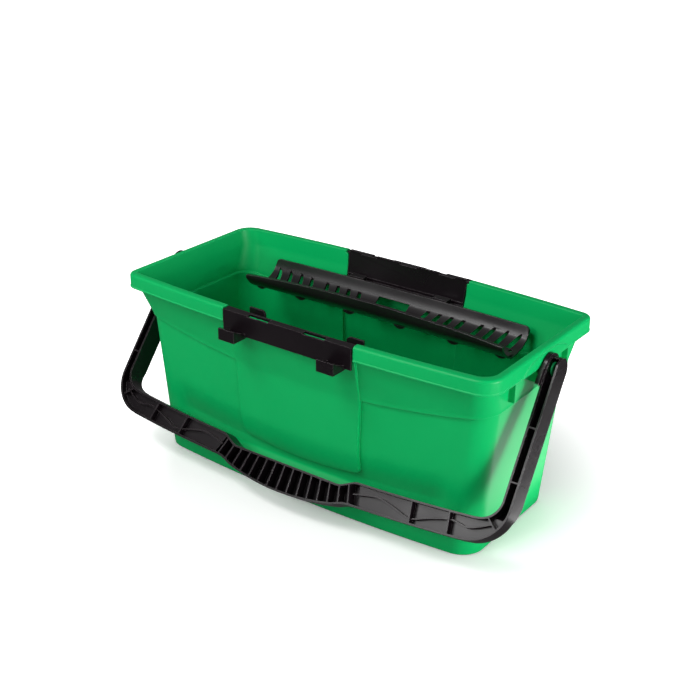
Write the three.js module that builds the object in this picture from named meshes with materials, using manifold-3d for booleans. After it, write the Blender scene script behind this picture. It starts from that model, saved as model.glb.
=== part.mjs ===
// A long rectangular cleaning bucket: a moulded tub with a swinging carrying handle, a clip-on tool
// holder on each long side of the rim, and a lift-out sieve that hooks onto the rear holder.
// Millimetres. X runs along the tub, -Y is its front and +Z is up. The origin is the centre of the
// underside of the base.
import * as THREE from "three";
import { mergeVertices } from "three/addons/utils/BufferGeometryUtils.js";
import Module from "manifold-3d";

const wasm = await Module();
wasm.setup();

// Tub: the outlines that the wall runs through. A width is across the ends of the long sides, which
// bow out between them. Two corners that face each other across the tub are sharper than the other
// two towards the rim, so that the tub pours cleanly there.
const rimLength = 560;
const rimWidth = 247;
const rimBow = 13.5;
const rimCorner = 26;
const rimPourCorner = 16;
const tubHeight = 255.2;
const rimEndOverhang = 11;
const rimWallOverhang = 7.5;
const neckLength = rimLength - 2 * rimEndOverhang;
const neckWidth = rimWidth - 2 * rimWallOverhang;
const neckCorner = 24;
const neckPourCorner = 10;
const shoulderEndStep = 4;
const shoulderWallStep = 15;
const shoulderLength = neckLength - 2 * shoulderEndStep;
const shoulderWidth = neckWidth - 2 * shoulderWallStep;
const shoulderBow = 13;
const shoulderCorner = 28;
const shoulderDrop = 82;
const shoulderRise = 24.5;
const baseEndStep = 16.5;
const baseWallStep = 6;
const baseLength = shoulderLength - 2 * baseEndStep;
const baseWidth = shoulderWidth - 2 * baseWallStep;
const baseBow = 14;
const baseCorner = 31;
const baseRounding = 4;
const wall = 3;
const floorThickness = 3.5;
const floorFillet = 9;

// Tub: the rolled rim.
const flangeWidth = 10.5;
const mouthCorner = 20;
const mouthPourCorner = 4;
const flangeThickness = 3;
const skirtHeight = 19.4;
const skirtWall = 2.5;
const rimRounding = 1.4;

// Tub: the hollow for the fingers along the foot of each long side.
const scoopDepth = 8;
const scoopTop = 102;
const scoopTopRise = 10;
const scoopTopDepth = 9;
const scoopLow = 52;
const plinthHeight = 40;
const scoopHalfLength = 232;
const scoopFade = 27;

// Tub: the raised panel in the middle of each long side, and the seat of the tool holder over it.
const panelProud = 4.5;
const panelTopHalf = 100;
const panelFootHalf = 92;
const panelFoot = 63;
const panelFootRise = 8;
const panelCorner = 10;
const panelRowShares = [0, 0.25, 0.45, 0.64, 0.82, 1];
const seatDrop = 4.3;

// Tub: the pivots on the end walls.
const pivotDrop = 24.5;
const pivotHeight = tubHeight - pivotDrop;
const bossHalfWidth = 21;
const bossDrop = 12.7;
const bossFace = 0.3;
const padHalfWidth = 54;
const padHeight = 16;
const padProud = 1.1;
const gussetPlace = 64.5;
const gussetThickness = 3;
const gussetReach = 10;
const gussetDrop = 28;
const collarRadius = 11;
const studRadius = 7;
const studHeadRadius = 8.8;
const studHeadThickness = 2.4;
const studHeadGap = 0.9;

// Handle: a bail of channel section. Lengths down the arms are from the pivot.
const handleRestGap = 5.28;
const armDepth = 30.4;
const armWidth = 14;
const armSpread = 7.2;
const armSpreadLength = 180;
const barDrop = 190.5;
const barWidth = 30.15;
const barHalfSpan = rimLength / 2;
const barBow = 14.7;
const barBack = 7;
const handleCorner = 50;
const handleInnerCorner = 26;
const handleWall = 2.5;
const webThickness = 2.5;
const armThinEnd = 122;
const barThickStart = 186;
const barPocketDepth = 9.2;
const gripRise = 59.4;
const gripFoot = barDrop + gripRise;
const gripWidth = 36.4;
const gripTop = gripFoot - gripWidth;
const gripSag = 9.5;
const gripHalf = 80;
const gripBlend = 28;
const gripPocketDepth = 15.2;
const gripRibs = 15;
const gripRibPitch = 12.95;
const gripFan = 272;
const ribThickness = 1.8;
const gripEnd = 101;
const barRibPlaces = [-225, -170, 183, 234.5];
const barRibLean = 0.2;
const armRibPlaces = [74, 140];
const cornerRibInsets = [21.6, 12.1];
const cornerRibDrop = 192.5;
const cornerRibSlope = 40;
const waveStart = 105;
const waveOverhang = 9;
const waveEnd = barHalfSpan + waveOverhang;
const waveHeight = 3;
// The wavy rib's line: shares of its length along the bar, and of the bar's width above its middle.
const waveShares = [
  [0, 0],
  [0.18, 0.16],
  [0.32, -0.03],
  [0.45, -0.25],
  [0.59, -0.02],
  [0.73, 0.15],
  [0.86, 0.03],
  [1, 0.34],
];
const eyeClearance = 0.3;
const eyeThickness = 3.6;
const eyeRadius = 18.5;
const eyeReach = 22;
const eyeDrop = 26;
const collarLength = 1.9;
const armOuter = rimLength / 2 + padProud + collarLength + eyeThickness + armWidth;

// Tool holders: a clip over the rim with J hooks.
const clearance = 0.3;
const holderHalf = 98;
const holderDrop = 29;
const plateThickness = 2.5;
const bandThickness = 2.2;
const legThickness = 2.5;
const legDrop = 13;
const legHalf = 95.5;
const slotNear = 26;
const slotFar = 59;
const slotDepth = 6.5;
const hookNear = 63;
const hookFar = 88;
const hookReach = 21;
const hookLip = 15.4;
const hookSink = 2.4;
const hookWall = 2.8;
const cheekRise = 4;
const cheekWall = 2.2;
const innerHookReach = 31.5;
const innerHookDrop = 22.4;
const innerHookLip = 14.5;
const innerHookChamfer = 6;

// Rear holder: the flat panel inside the tub, the tabs along its top and the channel at its foot.
const rearPanelTopHalf = 95;
const rearPanelFootHalf = 94;
const rearPanelDrop = 30;
const rearPanelGap = 0.57;
const rearPanelThickness = 2.5;
const tabHeight = 2.6;
const tabDepth = 3;
const tabEdges = [[-94, -76], [-49, -11], [16, 52], [77, 94]];
const channelReach = 10.5;
const channelDepth = 5.5;
const channelWall = 2.2;

// Sieve: a gutter that hangs lengthways behind the middle of the tub.
const sieveHalf = 204.6;
const sieveWall = 2.4;
const sieveBow = 4;
const sieveRearGap = 4;
const sieveRearDrop = 29.2;
const sieveRearTop = tubHeight - sieveRearDrop;
const sieveDepth = 28;
const sieveWidth = 71;
const sieveFrontDrop = 4;
const sieveFrontTop = sieveRearTop - sieveFrontDrop;
const sieveFrontRise = 7.5;
const sieveCorner = 7;
// The section of the gutter, from the rear to the front: shares of its width and of its depth.
const gutterShares = [
  [0.95, 0.61],
  [0.89, 0.39],
  [0.72, 0.14],
  [0.48, 0.02],
  [0.34, 0.01],
  [0.14, 0.28],
  [0.01, 0.66],
];
const sieveSlotWidth = 7;
const sieveSlotPlaces = [68, 86, 104.5, 148, 167, 186];
const sieveHolePlaces = [46, 131, 194.6];
const sieveHoleRadius = 2.6;
const sieveFootPlaces = [41, 123, 193];
const sieveFootRadius = 12;
const sieveFootDepth = 14;
const handHoleHalf = 25;
const handHoleTop = 14;
const handHoleFoot = 22.5;
const sieveHookPlace = 68;
const sieveHookHalf = 11;
const sieveHookThickness = 2.4;
const sieveHookDown = 4;

// Curves are drawn with these numbers of straight steps.
const sideSteps = 14;
const cornerSteps = 7;
const arcSteps = 8;
const roundSteps = 24;
const overrun = 1;

const green = new THREE.MeshStandardMaterial({ color: 0x00a650, roughness: 0.45, metalness: 0 });
const black = new THREE.MeshStandardMaterial({ color: 0x141314, roughness: 0.4, metalness: 0 });
const matt = new THREE.MeshStandardMaterial({ color: 0x1c1b1c, roughness: 0.55, metalness: 0 });

const mix = THREE.MathUtils.lerp;
const ease = (value, from, to) => THREE.MathUtils.smoothstep(value, from, to);

// Solids

function solidOf(geometry) {
  const bare = geometry.index ? geometry.toNonIndexed() : geometry.clone();
  for (const name of Object.keys(bare.attributes)) if (name !== "position") bare.deleteAttribute(name);
  const merged = mergeVertices(bare);
  const vertProperties = merged.attributes.position.array;
  const triVerts = new Uint32Array(merged.index.array);
  return new wasm.Manifold(new wasm.Mesh({ numProp: 3, vertProperties, triVerts }));
}

function meshOf(name, solid, material) {
  const { vertProperties, triVerts } = solid.getMesh();
  const geometry = new THREE.BufferGeometry();
  geometry.setAttribute("position", new THREE.BufferAttribute(vertProperties, 3));
  geometry.setIndex(new THREE.BufferAttribute(triVerts, 1));
  geometry.computeVertexNormals();
  const mesh = new THREE.Mesh(geometry, material);
  mesh.name = name;
  return mesh;
}

const joined = (solids) => solids.reduce((sum, solid) => sum.add(solid));

// A box between two corners.
function box([x0, y0, z0], [x1, y1, z1]) {
  const geometry = new THREE.BoxGeometry(x1 - x0, y1 - y0, z1 - z0);
  return solidOf(geometry.translate((x0 + x1) / 2, (y0 + y1) / 2, (z0 + z1) / 2));
}

// A flat outline of [x, z] points, as thick as from y0 to y1.
function slabAcrossY(points, y0, y1) {
  const shape = new THREE.Shape(points.map(([x, z]) => new THREE.Vector2(x, z)));
  const geometry = new THREE.ExtrudeGeometry(shape, { depth: y1 - y0, bevelEnabled: false });
  return solidOf(geometry.rotateX(Math.PI / 2).translate(0, y1, 0));
}

// A flat outline of [y, z] points, as long as from x0 to x1.
function barAlongX(points, x0, x1) {
  const shape = new THREE.Shape(points.map(([y, z]) => new THREE.Vector2(y, z)));
  const geometry = new THREE.ExtrudeGeometry(shape, { depth: x1 - x0, bevelEnabled: false });
  geometry.rotateX(Math.PI / 2).rotateZ(Math.PI / 2);
  return solidOf(geometry.translate(x0, 0, 0));
}

function discAlongX(radius, x0, x1, y, z) {
  const geometry = new THREE.CylinderGeometry(radius, radius, x1 - x0, roundSteps);
  return solidOf(geometry.rotateZ(Math.PI / 2).translate((x0 + x1) / 2, y, z));
}

function discAlongY(radius, y0, y1, x, z) {
  const geometry = new THREE.CylinderGeometry(radius, radius, y1 - y0, roundSteps);
  return solidOf(geometry.translate(x, (y0 + y1) / 2, z));
}

// A closed body through rings of points that all have the same number of points. Its two ends are
// filled flat, as seen along the axis given, and its faces are turned outwards.
function loft(rings, axis) {
  const count = rings[0].length;
  const flat = axis === "z" ? (p) => new THREE.Vector2(p.x, p.y) : (p) => new THREE.Vector2(p.y, p.z);
  const faces = [];
  for (let ring = 0; ring + 1 < rings.length; ring += 1) {
    for (let i = 0; i < count; i += 1) {
      const a = ring * count + i;
      const b = ring * count + ((i + 1) % count);
      faces.push(a, b, a + count, b, b + count, a + count);
    }
  }
  const cap = (ring, turned) => {
    const start = ring * count;
    for (const [a, b, c] of THREE.ShapeUtils.triangulateShape(rings[ring].map(flat), [])) {
      faces.push(start + a, start + (turned ? c : b), start + (turned ? b : c));
    }
  };
  const clockwise = THREE.ShapeUtils.isClockWise(rings[0].map(flat));
  cap(0, !clockwise);
  cap(rings.length - 1, clockwise);
  const points = rings.flat();
  let volume = 0;
  for (let i = 0; i < faces.length; i += 3) {
    const [a, b, c] = [points[faces[i]], points[faces[i + 1]], points[faces[i + 2]]];
    volume += a.dot(b.clone().cross(c));
  }
  if (volume < 0) faces.reverse();
  const geometry = new THREE.BufferGeometry().setFromPoints(points);
  geometry.setIndex(faces);
  return solidOf(geometry);
}

// Outlines in plan

// The arcs of an outline: each long side is one shallow arc, and a corner arc runs from it into the
// straight end.
function arcsOf({ length, width, bow, corner }) {
  const halfLength = length / 2;
  const halfWidth = width / 2;
  const sideRadius = (halfLength * halfLength + bow * bow) / (2 * bow);
  const sideCentre = sideRadius - (halfWidth + bow);
  const cornerX = halfLength - corner;
  const cornerY = sideCentre - Math.sqrt((sideRadius - corner) ** 2 - cornerX ** 2);
  return { sideRadius, sideCentre, cornerX, cornerY, corner };
}

function quarterOf(outline) {
  const { sideRadius, sideCentre, cornerX, cornerY, corner } = arcsOf(outline);
  const start = -Math.PI / 2;
  const turn = Math.atan2(cornerY - sideCentre, cornerX);
  const quarter = [];
  for (let i = 0; i <= sideSteps; i += 1) {
    const angle = mix(start, turn, i / sideSteps);
    quarter.push([sideRadius * Math.cos(angle), sideCentre + sideRadius * Math.sin(angle)]);
  }
  for (let i = 1; i <= cornerSteps; i += 1) {
    const angle = mix(turn, 0, i / cornerSteps);
    quarter.push([cornerX + corner * Math.cos(angle), cornerY + corner * Math.sin(angle)]);
  }
  quarter[0][0] = 0;
  return quarter;
}

function outlineRing(outline) {
  const quarter = quarterOf(outline);
  const back = quarterOf({ ...outline, corner: outline.pour }).reverse();
  return [
    ...quarter,
    ...back.map(([x, y]) => [x, -y]),
    ...quarter.slice(1).map(([x, y]) => [-x, -y]),
    ...back.slice(0, -1).map(([x, y]) => [-x, y]),
  ];
}

// How far the long side stands from the middle, at a place along it.
function sideAt(outline, x) {
  const { sideRadius, sideCentre } = arcsOf(outline);
  return Math.sqrt(sideRadius * sideRadius - x * x) - sideCentre;
}

const inset = ({ length, width, bow, corner, pour }, by) => ({
  length: length - 2 * by,
  width: width - 2 * by,
  bow,
  corner: corner - by,
  pour: pour - by,
});

const rim = {
  length: rimLength,
  width: rimWidth,
  bow: rimBow,
  corner: rimCorner,
  pour: rimPourCorner,
};
const neck = {
  length: neckLength,
  width: neckWidth,
  bow: rimBow,
  corner: neckCorner,
  pour: neckPourCorner,
};
const shoulder = {
  length: shoulderLength,
  width: shoulderWidth,
  bow: shoulderBow,
  corner: shoulderCorner,
  pour: shoulderCorner,
};
const base = {
  length: baseLength,
  width: baseWidth,
  bow: baseBow,
  corner: baseCorner,
  pour: baseCorner,
};
const mouth = { ...inset(rim, flangeWidth), corner: mouthCorner, pour: mouthPourCorner };

const skirtFoot = tubHeight - skirtHeight;
const flangeFoot = tubHeight - flangeThickness;
const rimHalf = rimLength / 2;
const shoulderMiddle = tubHeight - shoulderDrop;
const shoulderHeight = (x) => shoulderMiddle + shoulderRise * (x / (shoulderLength / 2)) ** 2;
const scoopHeight = (x) => scoopTop + scoopTopRise * (x / scoopHalfLength) ** 2;

// How far the wall leans in for the finger hollow.
function scoopAt(x, z) {
  const along = 1 - ease(Math.abs(x), scoopHalfLength - scoopFade, scoopHalfLength);
  const above = 1 - ease(z, scoopHeight(x) - scoopTopDepth, scoopHeight(x));
  return scoopDepth * along * above * ease(z, plinthHeight, scoopLow);
}

// The outer face of a long side, without its finger hollow.
function wallFace(x, z) {
  const low = sideAt(base, x);
  const middle = sideAt(shoulder, x);
  const kink = shoulderHeight(x);
  if (z < kink) return mix(low, middle, z / kink);
  return mix(middle, sideAt(neck, x), Math.min(1, (z - kink) / (skirtFoot - kink)));
}

// One ring of the wall, at a height that may change along the tub.
function wallRing(heightAt, by) {
  const low = outlineRing(inset(base, by));
  const middle = outlineRing(inset(shoulder, by));
  const high = outlineRing(inset(neck, by));
  return low.map((point, i) => {
    const along = middle[i][0];
    const kink = shoulderHeight(along);
    const z = heightAt(along);
    const below = z <= kink;
    const [from, to] = below ? [point, middle[i]] : [middle[i], high[i]];
    const share = below ? z / kink : (z - kink) / (skirtFoot - kink);
    const y = mix(from[1], to[1], share);
    const lean = i % (sideSteps + cornerSteps) === 0 && y === 0 ? 0 : scoopAt(along, z);
    return new THREE.Vector3(mix(from[0], to[0], share), y - Math.sign(y) * lean, z);
  });
}

const flatRing = (outline, z) => outlineRing(outline).map(([x, y]) => new THREE.Vector3(x, y, z));

// Heights at which the wall changes its slope, from the plinth up to the foot of the skirt.
const wallHeights = [
  () => plinthHeight,
  () => (plinthHeight + scoopLow) / 2,
  () => scoopLow,
  (x) => scoopHeight(x) - scoopTopDepth,
  (x) => scoopHeight(x) - scoopTopDepth / 2,
  (x) => scoopHeight(x),
  shoulderHeight,
  () => skirtFoot,
];

// The tub as if it were solid: its wall, and the rim with the gap behind its skirt.
function tubBody() {
  const apron = inset(rim, skirtWall);
  const throat = inset(mouth, -wall);
  return loft([
    flatRing(inset(base, baseRounding), 0),
    wallRing(() => baseRounding, 0),
    ...wallHeights.map((heightAt) => wallRing(heightAt, 0)),
    flatRing(throat, flangeFoot),
    flatRing(apron, flangeFoot),
    flatRing(apron, skirtFoot),
    flatRing(rim, skirtFoot),
    flatRing(rim, tubHeight - rimRounding),
    flatRing(inset(rim, rimRounding), tubHeight),
  ], "z");
}

// The space inside the tub.
function tubInside() {
  return loft([
    flatRing(inset(base, wall + floorFillet), floorThickness),
    wallRing(() => floorThickness + floorFillet, wall),
    ...wallHeights.map((heightAt) => wallRing(heightAt, wall)),
    flatRing(mouth, tubHeight - rimRounding),
    flatRing(inset(mouth, -rimRounding), tubHeight),
    flatRing(inset(mouth, -rimRounding), tubHeight + overrun),
  ], "z");
}

// A slab that follows the front wall: its front stands out from the wall's face, its back lies
// behind that face, and its outline is the panel's, drawn in by a margin.
function panelSlab(front, back, margin, top) {
  const columns = [];
  for (let i = -arcSteps; i <= arcSteps; i += 1) columns.push(Math.sin((i / arcSteps) * (Math.PI / 2)));
  const footAt = (share) => {
    const half = panelFootHalf - margin;
    const x = Math.abs(share) * half;
    const round = Math.max(0, x - (half - panelCorner));
    const corner = panelCorner - Math.sqrt(panelCorner ** 2 - round ** 2);
    return panelFoot + margin + panelFootRise * (x / half) ** 2 + corner;
  };
  const ring = (share) => {
    const foot = footAt(share);
    const heights = [...panelRowShares.map((row) => mix(foot, skirtFoot, row)), top];
    const across = (z) => {
      const half = mix(panelFootHalf, panelTopHalf, (z - panelFoot) / (tubHeight - panelFoot));
      return share * (half - margin);
    };
    const faceAt = (z, out) => new THREE.Vector3(across(z), -(wallFace(across(z), z) + out), z);
    const scooped = (z, out) => faceAt(z, out - scoopAt(across(z), z));
    return [
      ...heights.map((z) => faceAt(z, front)),
      ...[...heights].reverse().map((z) => scooped(z, back)),
    ];
  };
  return loft(columns.map(ring), "x");
}

const seatTop = tubHeight - seatDrop;
const bossOuter = rimHalf - bossFace;
const padFace = rimHalf + padProud;
const studTip = armOuter - armWidth + handleWall + studHeadGap + studHeadThickness;

// What stands on the right end wall: two gussets, the boss and the pad of the pivot, and its stud.
function pivotEnd() {
  const wallSide = shoulderLength / 2;
  const gussetFoot = skirtFoot - gussetDrop;
  const half = gussetThickness / 2;
  const gusset = (y) => box(
    [wallSide - wall / 2, y - half, gussetFoot],
    [wallSide + gussetReach + half, y + half, flangeFoot + overrun / 2],
  );
  const bossFoot = pivotHeight - bossDrop;
  const boss = box(
    [wallSide - wall / 2, -bossHalfWidth, bossFoot],
    [bossOuter, bossHalfWidth, flangeFoot + overrun / 2],
  );
  const arch = [];
  for (let i = 0; i <= 2 * arcSteps; i += 1) {
    const angle = (Math.PI * i) / (2 * arcSteps);
    arch.push([padHalfWidth * Math.cos(angle), skirtFoot + padHeight * Math.sin(angle)]);
  }
  const pad = barAlongX(arch, rimHalf - skirtWall / 2, padFace);
  const tongue = box(
    [bossOuter - overrun, -bossHalfWidth, bossFoot],
    [padFace, bossHalfWidth, pivotHeight],
  );
  const flange = armOuter - armWidth;
  const collarEnd = flange - eyeThickness - clearance;
  const collar = discAlongX(collarRadius, padFace - overrun, collarEnd, 0, pivotHeight);
  const stud = discAlongX(studRadius, padFace - overrun, studTip, 0, pivotHeight);
  const head = discAlongX(studHeadRadius, studTip - studHeadThickness, studTip, 0, pivotHeight);
  return joined([gusset(-gussetPlace), gusset(gussetPlace), boss, pad, tongue, collar, stud, head]);
}

// The seat of a tool holder: the rim is cut away to the raised panel under it.
function seatCut() {
  const half = panelTopHalf - clearance;
  const inner = sideAt(mouth, half) - 2 * wall;
  const face = (x) => -(wallFace(x, skirtFoot) + panelProud - clearance);
  const front = [];
  for (let i = -arcSteps; i <= arcSteps; i += 1) {
    const x = (i / arcSteps) * half;
    front.push([
      new THREE.Vector3(x, -rimWidth, skirtFoot - overrun),
      new THREE.Vector3(x, face(x), skirtFoot - overrun),
      new THREE.Vector3(x, face(x), tubHeight + overrun),
      new THREE.Vector3(x, -rimWidth, tubHeight + overrun),
    ]);
  }
  return loft(front, "x").add(box([-half, -rimWidth, seatTop], [half, -inner, tubHeight + overrun]));
}

function makeTub() {
  const both = (solid) => solid.add(solid.rotate([0, 0, 180]));
  const raised = panelSlab(panelProud, -wall / 2, 0, flangeFoot + overrun / 2);
  const hollow = panelSlab(panelProud - wall, -4 * wall, wall, tubHeight + overrun);
  const outside = tubBody().add(both(raised)).add(both(pivotEnd()));
  return outside.subtract(tubInside()).subtract(both(hollow)).subtract(both(seatCut()));
}

// Handle, in its own frame: the pivot is at the origin and it hangs down -Z, open towards -Y.

// At rest the handle hangs with its grip a little in front of the raised panel.
const gripReach = Math.hypot(barBack, gripTop);
const restReach = wallFace(0, panelFoot) + panelProud + handleRestGap;
const hangAngle = Math.atan2(barBack, gripTop) + Math.asin(restReach / gripReach);

const armLine = (down) => armOuter + armSpread * (down / armSpreadLength);
const barShare = (x) => 1 - ease(Math.abs(x), gripHalf, gripHalf + gripBlend);
const barUpper = (x) => {
  const bar = barDrop + barBow * (1 - (x / barHalfSpan) ** 2);
  return mix(bar, gripTop, barShare(x));
};
const barLower = (x) => {
  const bar = barDrop + barWidth + barBow * (1 - (x / barHalfSpan) ** 2);
  return mix(bar, gripFoot - gripSag * (x / gripHalf) ** 2, barShare(x));
};

// The points that round the corner between two straight lines, with a radius.
function roundCorner(before, corner, after, radius) {
  const at = new THREE.Vector2(...corner);
  const back = new THREE.Vector2(...before).sub(at).normalize();
  const on = new THREE.Vector2(...after).sub(at).normalize();
  const half = back.angleTo(on) / 2;
  const centre = back.clone().add(on).normalize().multiplyScalar(radius / Math.sin(half)).add(at);
  const first = back.multiplyScalar(radius / Math.tan(half)).add(at).sub(centre);
  const last = on.multiplyScalar(radius / Math.tan(half)).add(at).sub(centre);
  const turn = Math.atan2(first.cross(last), first.dot(last));
  const points = [];
  for (let i = 0; i <= arcSteps; i += 1) {
    const point = first.clone().rotateAround(new THREE.Vector2(), (turn * i) / arcSteps).add(centre);
    points.push([point.x, point.y]);
  }
  return points;
}

// One edge of the handle, from the top of its right arm round to its middle. The offset moves the
// arm's edge out and the bar's edge down.
function handleEdge(armEdge, barEdge, radius, top) {
  const meet = armEdge(barDrop);
  const corner = [meet, -barEdge(meet)];
  const bend = handleCorner * 2;
  const before = [armEdge(barDrop - bend), -(barDrop - bend)];
  const after = [meet - bend, -barEdge(meet - bend)];
  const points = [[armEdge(-top), top], ...roundCorner(before, corner, after, radius)];
  const from = points[points.length - 1][0] - handleWall;
  const steps = sideSteps * 2;
  for (let i = 0; i <= steps; i += 1) {
    const x = mix(from, 0, i / steps);
    points.push([x, -barEdge(x)]);
  }
  return points;
}

// The outline of the whole handle from the front, drawn in by a margin.
function handleOutline(margin, top) {
  const outer = handleEdge(
    (s) => armLine(s) - margin,
    (x) => barLower(x) - margin,
    handleCorner - margin,
    top,
  );
  const inner = handleEdge(
    (s) => armLine(s) - armWidth + margin,
    (x) => barUpper(x) + margin,
    handleInnerCorner + margin,
    top,
  );
  const mirrored = (points) => points.slice(0, -1).reverse().map(([x, z]) => [-x, z]);
  const outside = [...outer, ...mirrored(outer)];
  const inside = [...inner, ...mirrored(inner)];
  return [...outside, ...inside.reverse()];
}

// The handle from the side: an arm with a round head, and a thinner bar.
function sideProfile(radius, thinEnd, thickStart, barFace) {
  const foot = -(gripFoot + overrun);
  const points = [];
  for (let i = 0; i <= 2 * arcSteps; i += 1) {
    const angle = Math.PI - (Math.PI * i) / (2 * arcSteps);
    points.push([radius * Math.cos(angle), radius * Math.sin(angle)]);
  }
  return [...points, [radius, -thinEnd], [barFace, -thickStart], [barFace, foot], [-radius, foot]];
}

// A band across the bar, as thick as from y0 to y1. Its sides pass through x0 and x1 at the height
// of the bar's top and lean outwards below it.
function bandAcross([x0, lean0], [x1, lean1], y0, y1) {
  const foot = gripFoot + overrun;
  const down = foot - barDrop;
  const outline = [[x0, -barDrop], [x1, -barDrop], [x1 + lean1 * down, -foot], [x0 + lean0 * down, -foot]];
  return slabAcrossY(outline, y0, y1);
}

// A rib through the whole depth of the bar.
function ribAt(x, lean) {
  const half = ribThickness / 2;
  return bandAcross([x - half, lean], [x + half, lean], -armDepth, armDepth);
}

// A sloping rib across each rounded corner of the handle.
function cornerRib(place) {
  const geometry = new THREE.BoxGeometry(armDepth, 2 * armDepth, ribThickness);
  const slope = THREE.MathUtils.degToRad(cornerRibSlope * Math.sign(place));
  return solidOf(geometry.rotateY(slope).translate(place, 0, -cornerRibDrop));
}

function makeHandle() {
  const half = armDepth / 2;
  const reach = rimLength;
  const body = slabAcrossY(handleOutline(0, half + overrun), -half, half)
    .intersect(barAlongX(sideProfile(half, armThinEnd, barThickStart, barBack), -reach, reach));

  const webFace = half - webThickness;
  const barFloor = barPocketDepth - half;
  const opening = sideProfile(webFace, armThinEnd, barThickStart, barFloor)
    .map(([y, z]) => [y < barFloor ? y - overrun * 2 - webThickness : y, z]);
  const pocketOutline = slabAcrossY(handleOutline(handleWall, half + overrun), -armDepth, armDepth);
  let pocket = pocketOutline.intersect(barAlongX(opening, -reach, reach));
  const gripFloor = gripPocketDepth - half;
  const endLean = gripEnd / gripFan;
  const gripZone = bandAcross([-gripEnd, -endLean], [gripEnd, endLean], -armDepth, gripFloor);
  pocket = pocket.add(pocketOutline.intersect(gripZone));
  const backNear = gripEnd + gripBlend;
  const backFar = barHalfSpan - handleCorner / 2;
  const backZone = (side) => box(
    [side > 0 ? backNear : -backFar, barFloor + webThickness, -(gripFoot + overrun)],
    [side > 0 ? backFar : -backNear, armDepth, -barDrop],
  );
  pocket = pocket.add(pocketOutline.intersect(joined([backZone(1), backZone(-1)])));

  const ribs = [];
  for (let i = 0; i < gripRibs; i += 1) {
    const place = (i - (gripRibs - 1) / 2) * gripRibPitch;
    ribs.push(ribAt(place, place / gripFan));
  }
  for (const place of barRibPlaces) ribs.push(ribAt(place, barRibLean * Math.sign(place)));
  const [leftInset, rightInset] = cornerRibInsets;
  ribs.push(cornerRib(leftInset - armOuter), cornerRib(armOuter - rightInset));
  for (const place of armRibPlaces) {
    ribs.push(box([-reach, -half, -place - ribThickness], [reach, half, -place]));
  }
  pocket = pocket.subtract(joined(ribs));

  return body.subtract(pocket).add(waves(barFloor)).add(eyes()).subtract(eyeHoles());
}

// The wavy rib that stands on the web on each side of the grip.
function waves(barFloor) {
  const places = waveShares.map(([along, above]) => {
    const x = mix(waveStart, waveEnd, along);
    return new THREE.Vector2(x, above * barWidth - (barUpper(x) + barLower(x)) / 2);
  });
  const line = new THREE.SplineCurve(places).getPoints(3 * arcSteps);
  const halfRib = ribThickness / 2;
  const outline = [
    ...line.map(({ x, y }) => [x, y - halfRib]),
    ...[...line].reverse().map(({ x, y }) => [x, y + halfRib]),
  ];
  const right = slabAcrossY(outline, barFloor - waveHeight, barFloor + webThickness / 2);
  return right.add(right.mirror([1, 0, 0]));
}

// The round plate inside each arm that turns on the tub's stud.
function eyes() {
  const points = [];
  for (let i = 0; i <= 2 * arcSteps; i += 1) {
    const angle = Math.PI - (Math.PI * i) / (2 * arcSteps);
    points.push([eyeRadius * Math.cos(angle), eyeRadius * Math.sin(angle)]);
  }
  const half = armDepth / 2;
  const outline = [
    ...points,
    [half, -eyeRadius],
    [half, -eyeDrop],
    [-eyeReach, -eyeDrop],
    [-eyeReach, -eyeRadius / 2],
  ];
  const face = armOuter - armWidth;
  const right = barAlongX(outline, face - eyeThickness, face + handleWall / 2);
  return right.add(right.mirror([1, 0, 0]));
}

function eyeHoles() {
  const face = armOuter - armWidth;
  const from = face - eyeThickness - overrun;
  const right = discAlongX(studRadius + eyeClearance, from, face + handleWall + overrun, 0, 0);
  return right.add(right.mirror([1, 0, 0]));
}

// Tool holders

const bandFoot = seatTop + clearance;
const bandTop = bandFoot + bandThickness;
const plateBack = panelProud + neckWidth / 2 + rimBow + clearance;
const plateFront = plateBack + plateThickness;
const plateFoot = bandTop - holderDrop;

// The outer plate, the band over the rim with its two slots, and the two outer hooks.
function outerClip(bandInner) {
  const xs = [];
  for (let i = -arcSteps; i <= arcSteps; i += 1) xs.push((i / arcSteps) * holderHalf);
  const band = loft(xs.map((x) => [
    new THREE.Vector3(x, -plateFront, bandFoot),
    new THREE.Vector3(x, -bandInner(x), bandFoot),
    new THREE.Vector3(x, -bandInner(x), bandTop),
    new THREE.Vector3(x, -plateFront, bandTop),
  ]), "x");
  const plate = box([-holderHalf, -plateFront, plateFoot], [holderHalf, -plateBack, bandTop]);
  const slot = (side) => box(
    [side > 0 ? slotNear : -slotFar, -plateBack - overrun / 2, bandFoot - overrun],
    [side > 0 ? slotFar : -slotNear, -plateBack + slotDepth, bandTop + overrun],
  );
  const hook = (side) => {
    const low = side > 0 ? hookNear : -hookFar;
    const high = side > 0 ? hookFar : -hookNear;
    const floor = plateFoot - hookSink;
    const lip = plateFront + hookReach;
    const lipTop = floor + hookLip;
    const profile = [
      [-plateBack, floor],
      [-lip, floor],
      [-lip, lipTop],
      [-lip + hookWall, lipTop],
      [-lip + hookWall, floor + hookWall],
      [-plateBack, floor + hookWall],
    ];
    const cheek = [
      [-plateBack, floor],
      [-lip, floor],
      [-lip, lipTop],
      [-plateFront, plateFoot + cheekRise],
      [-plateBack, plateFoot + cheekRise],
    ];
    return joined([
      barAlongX(profile, low, high),
      barAlongX(cheek, low, low + cheekWall),
      barAlongX(cheek, high - cheekWall, high),
    ]);
  };
  return joined([band, plate, hook(1), hook(-1)]).subtract(joined([slot(1), slot(-1)]));
}

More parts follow.
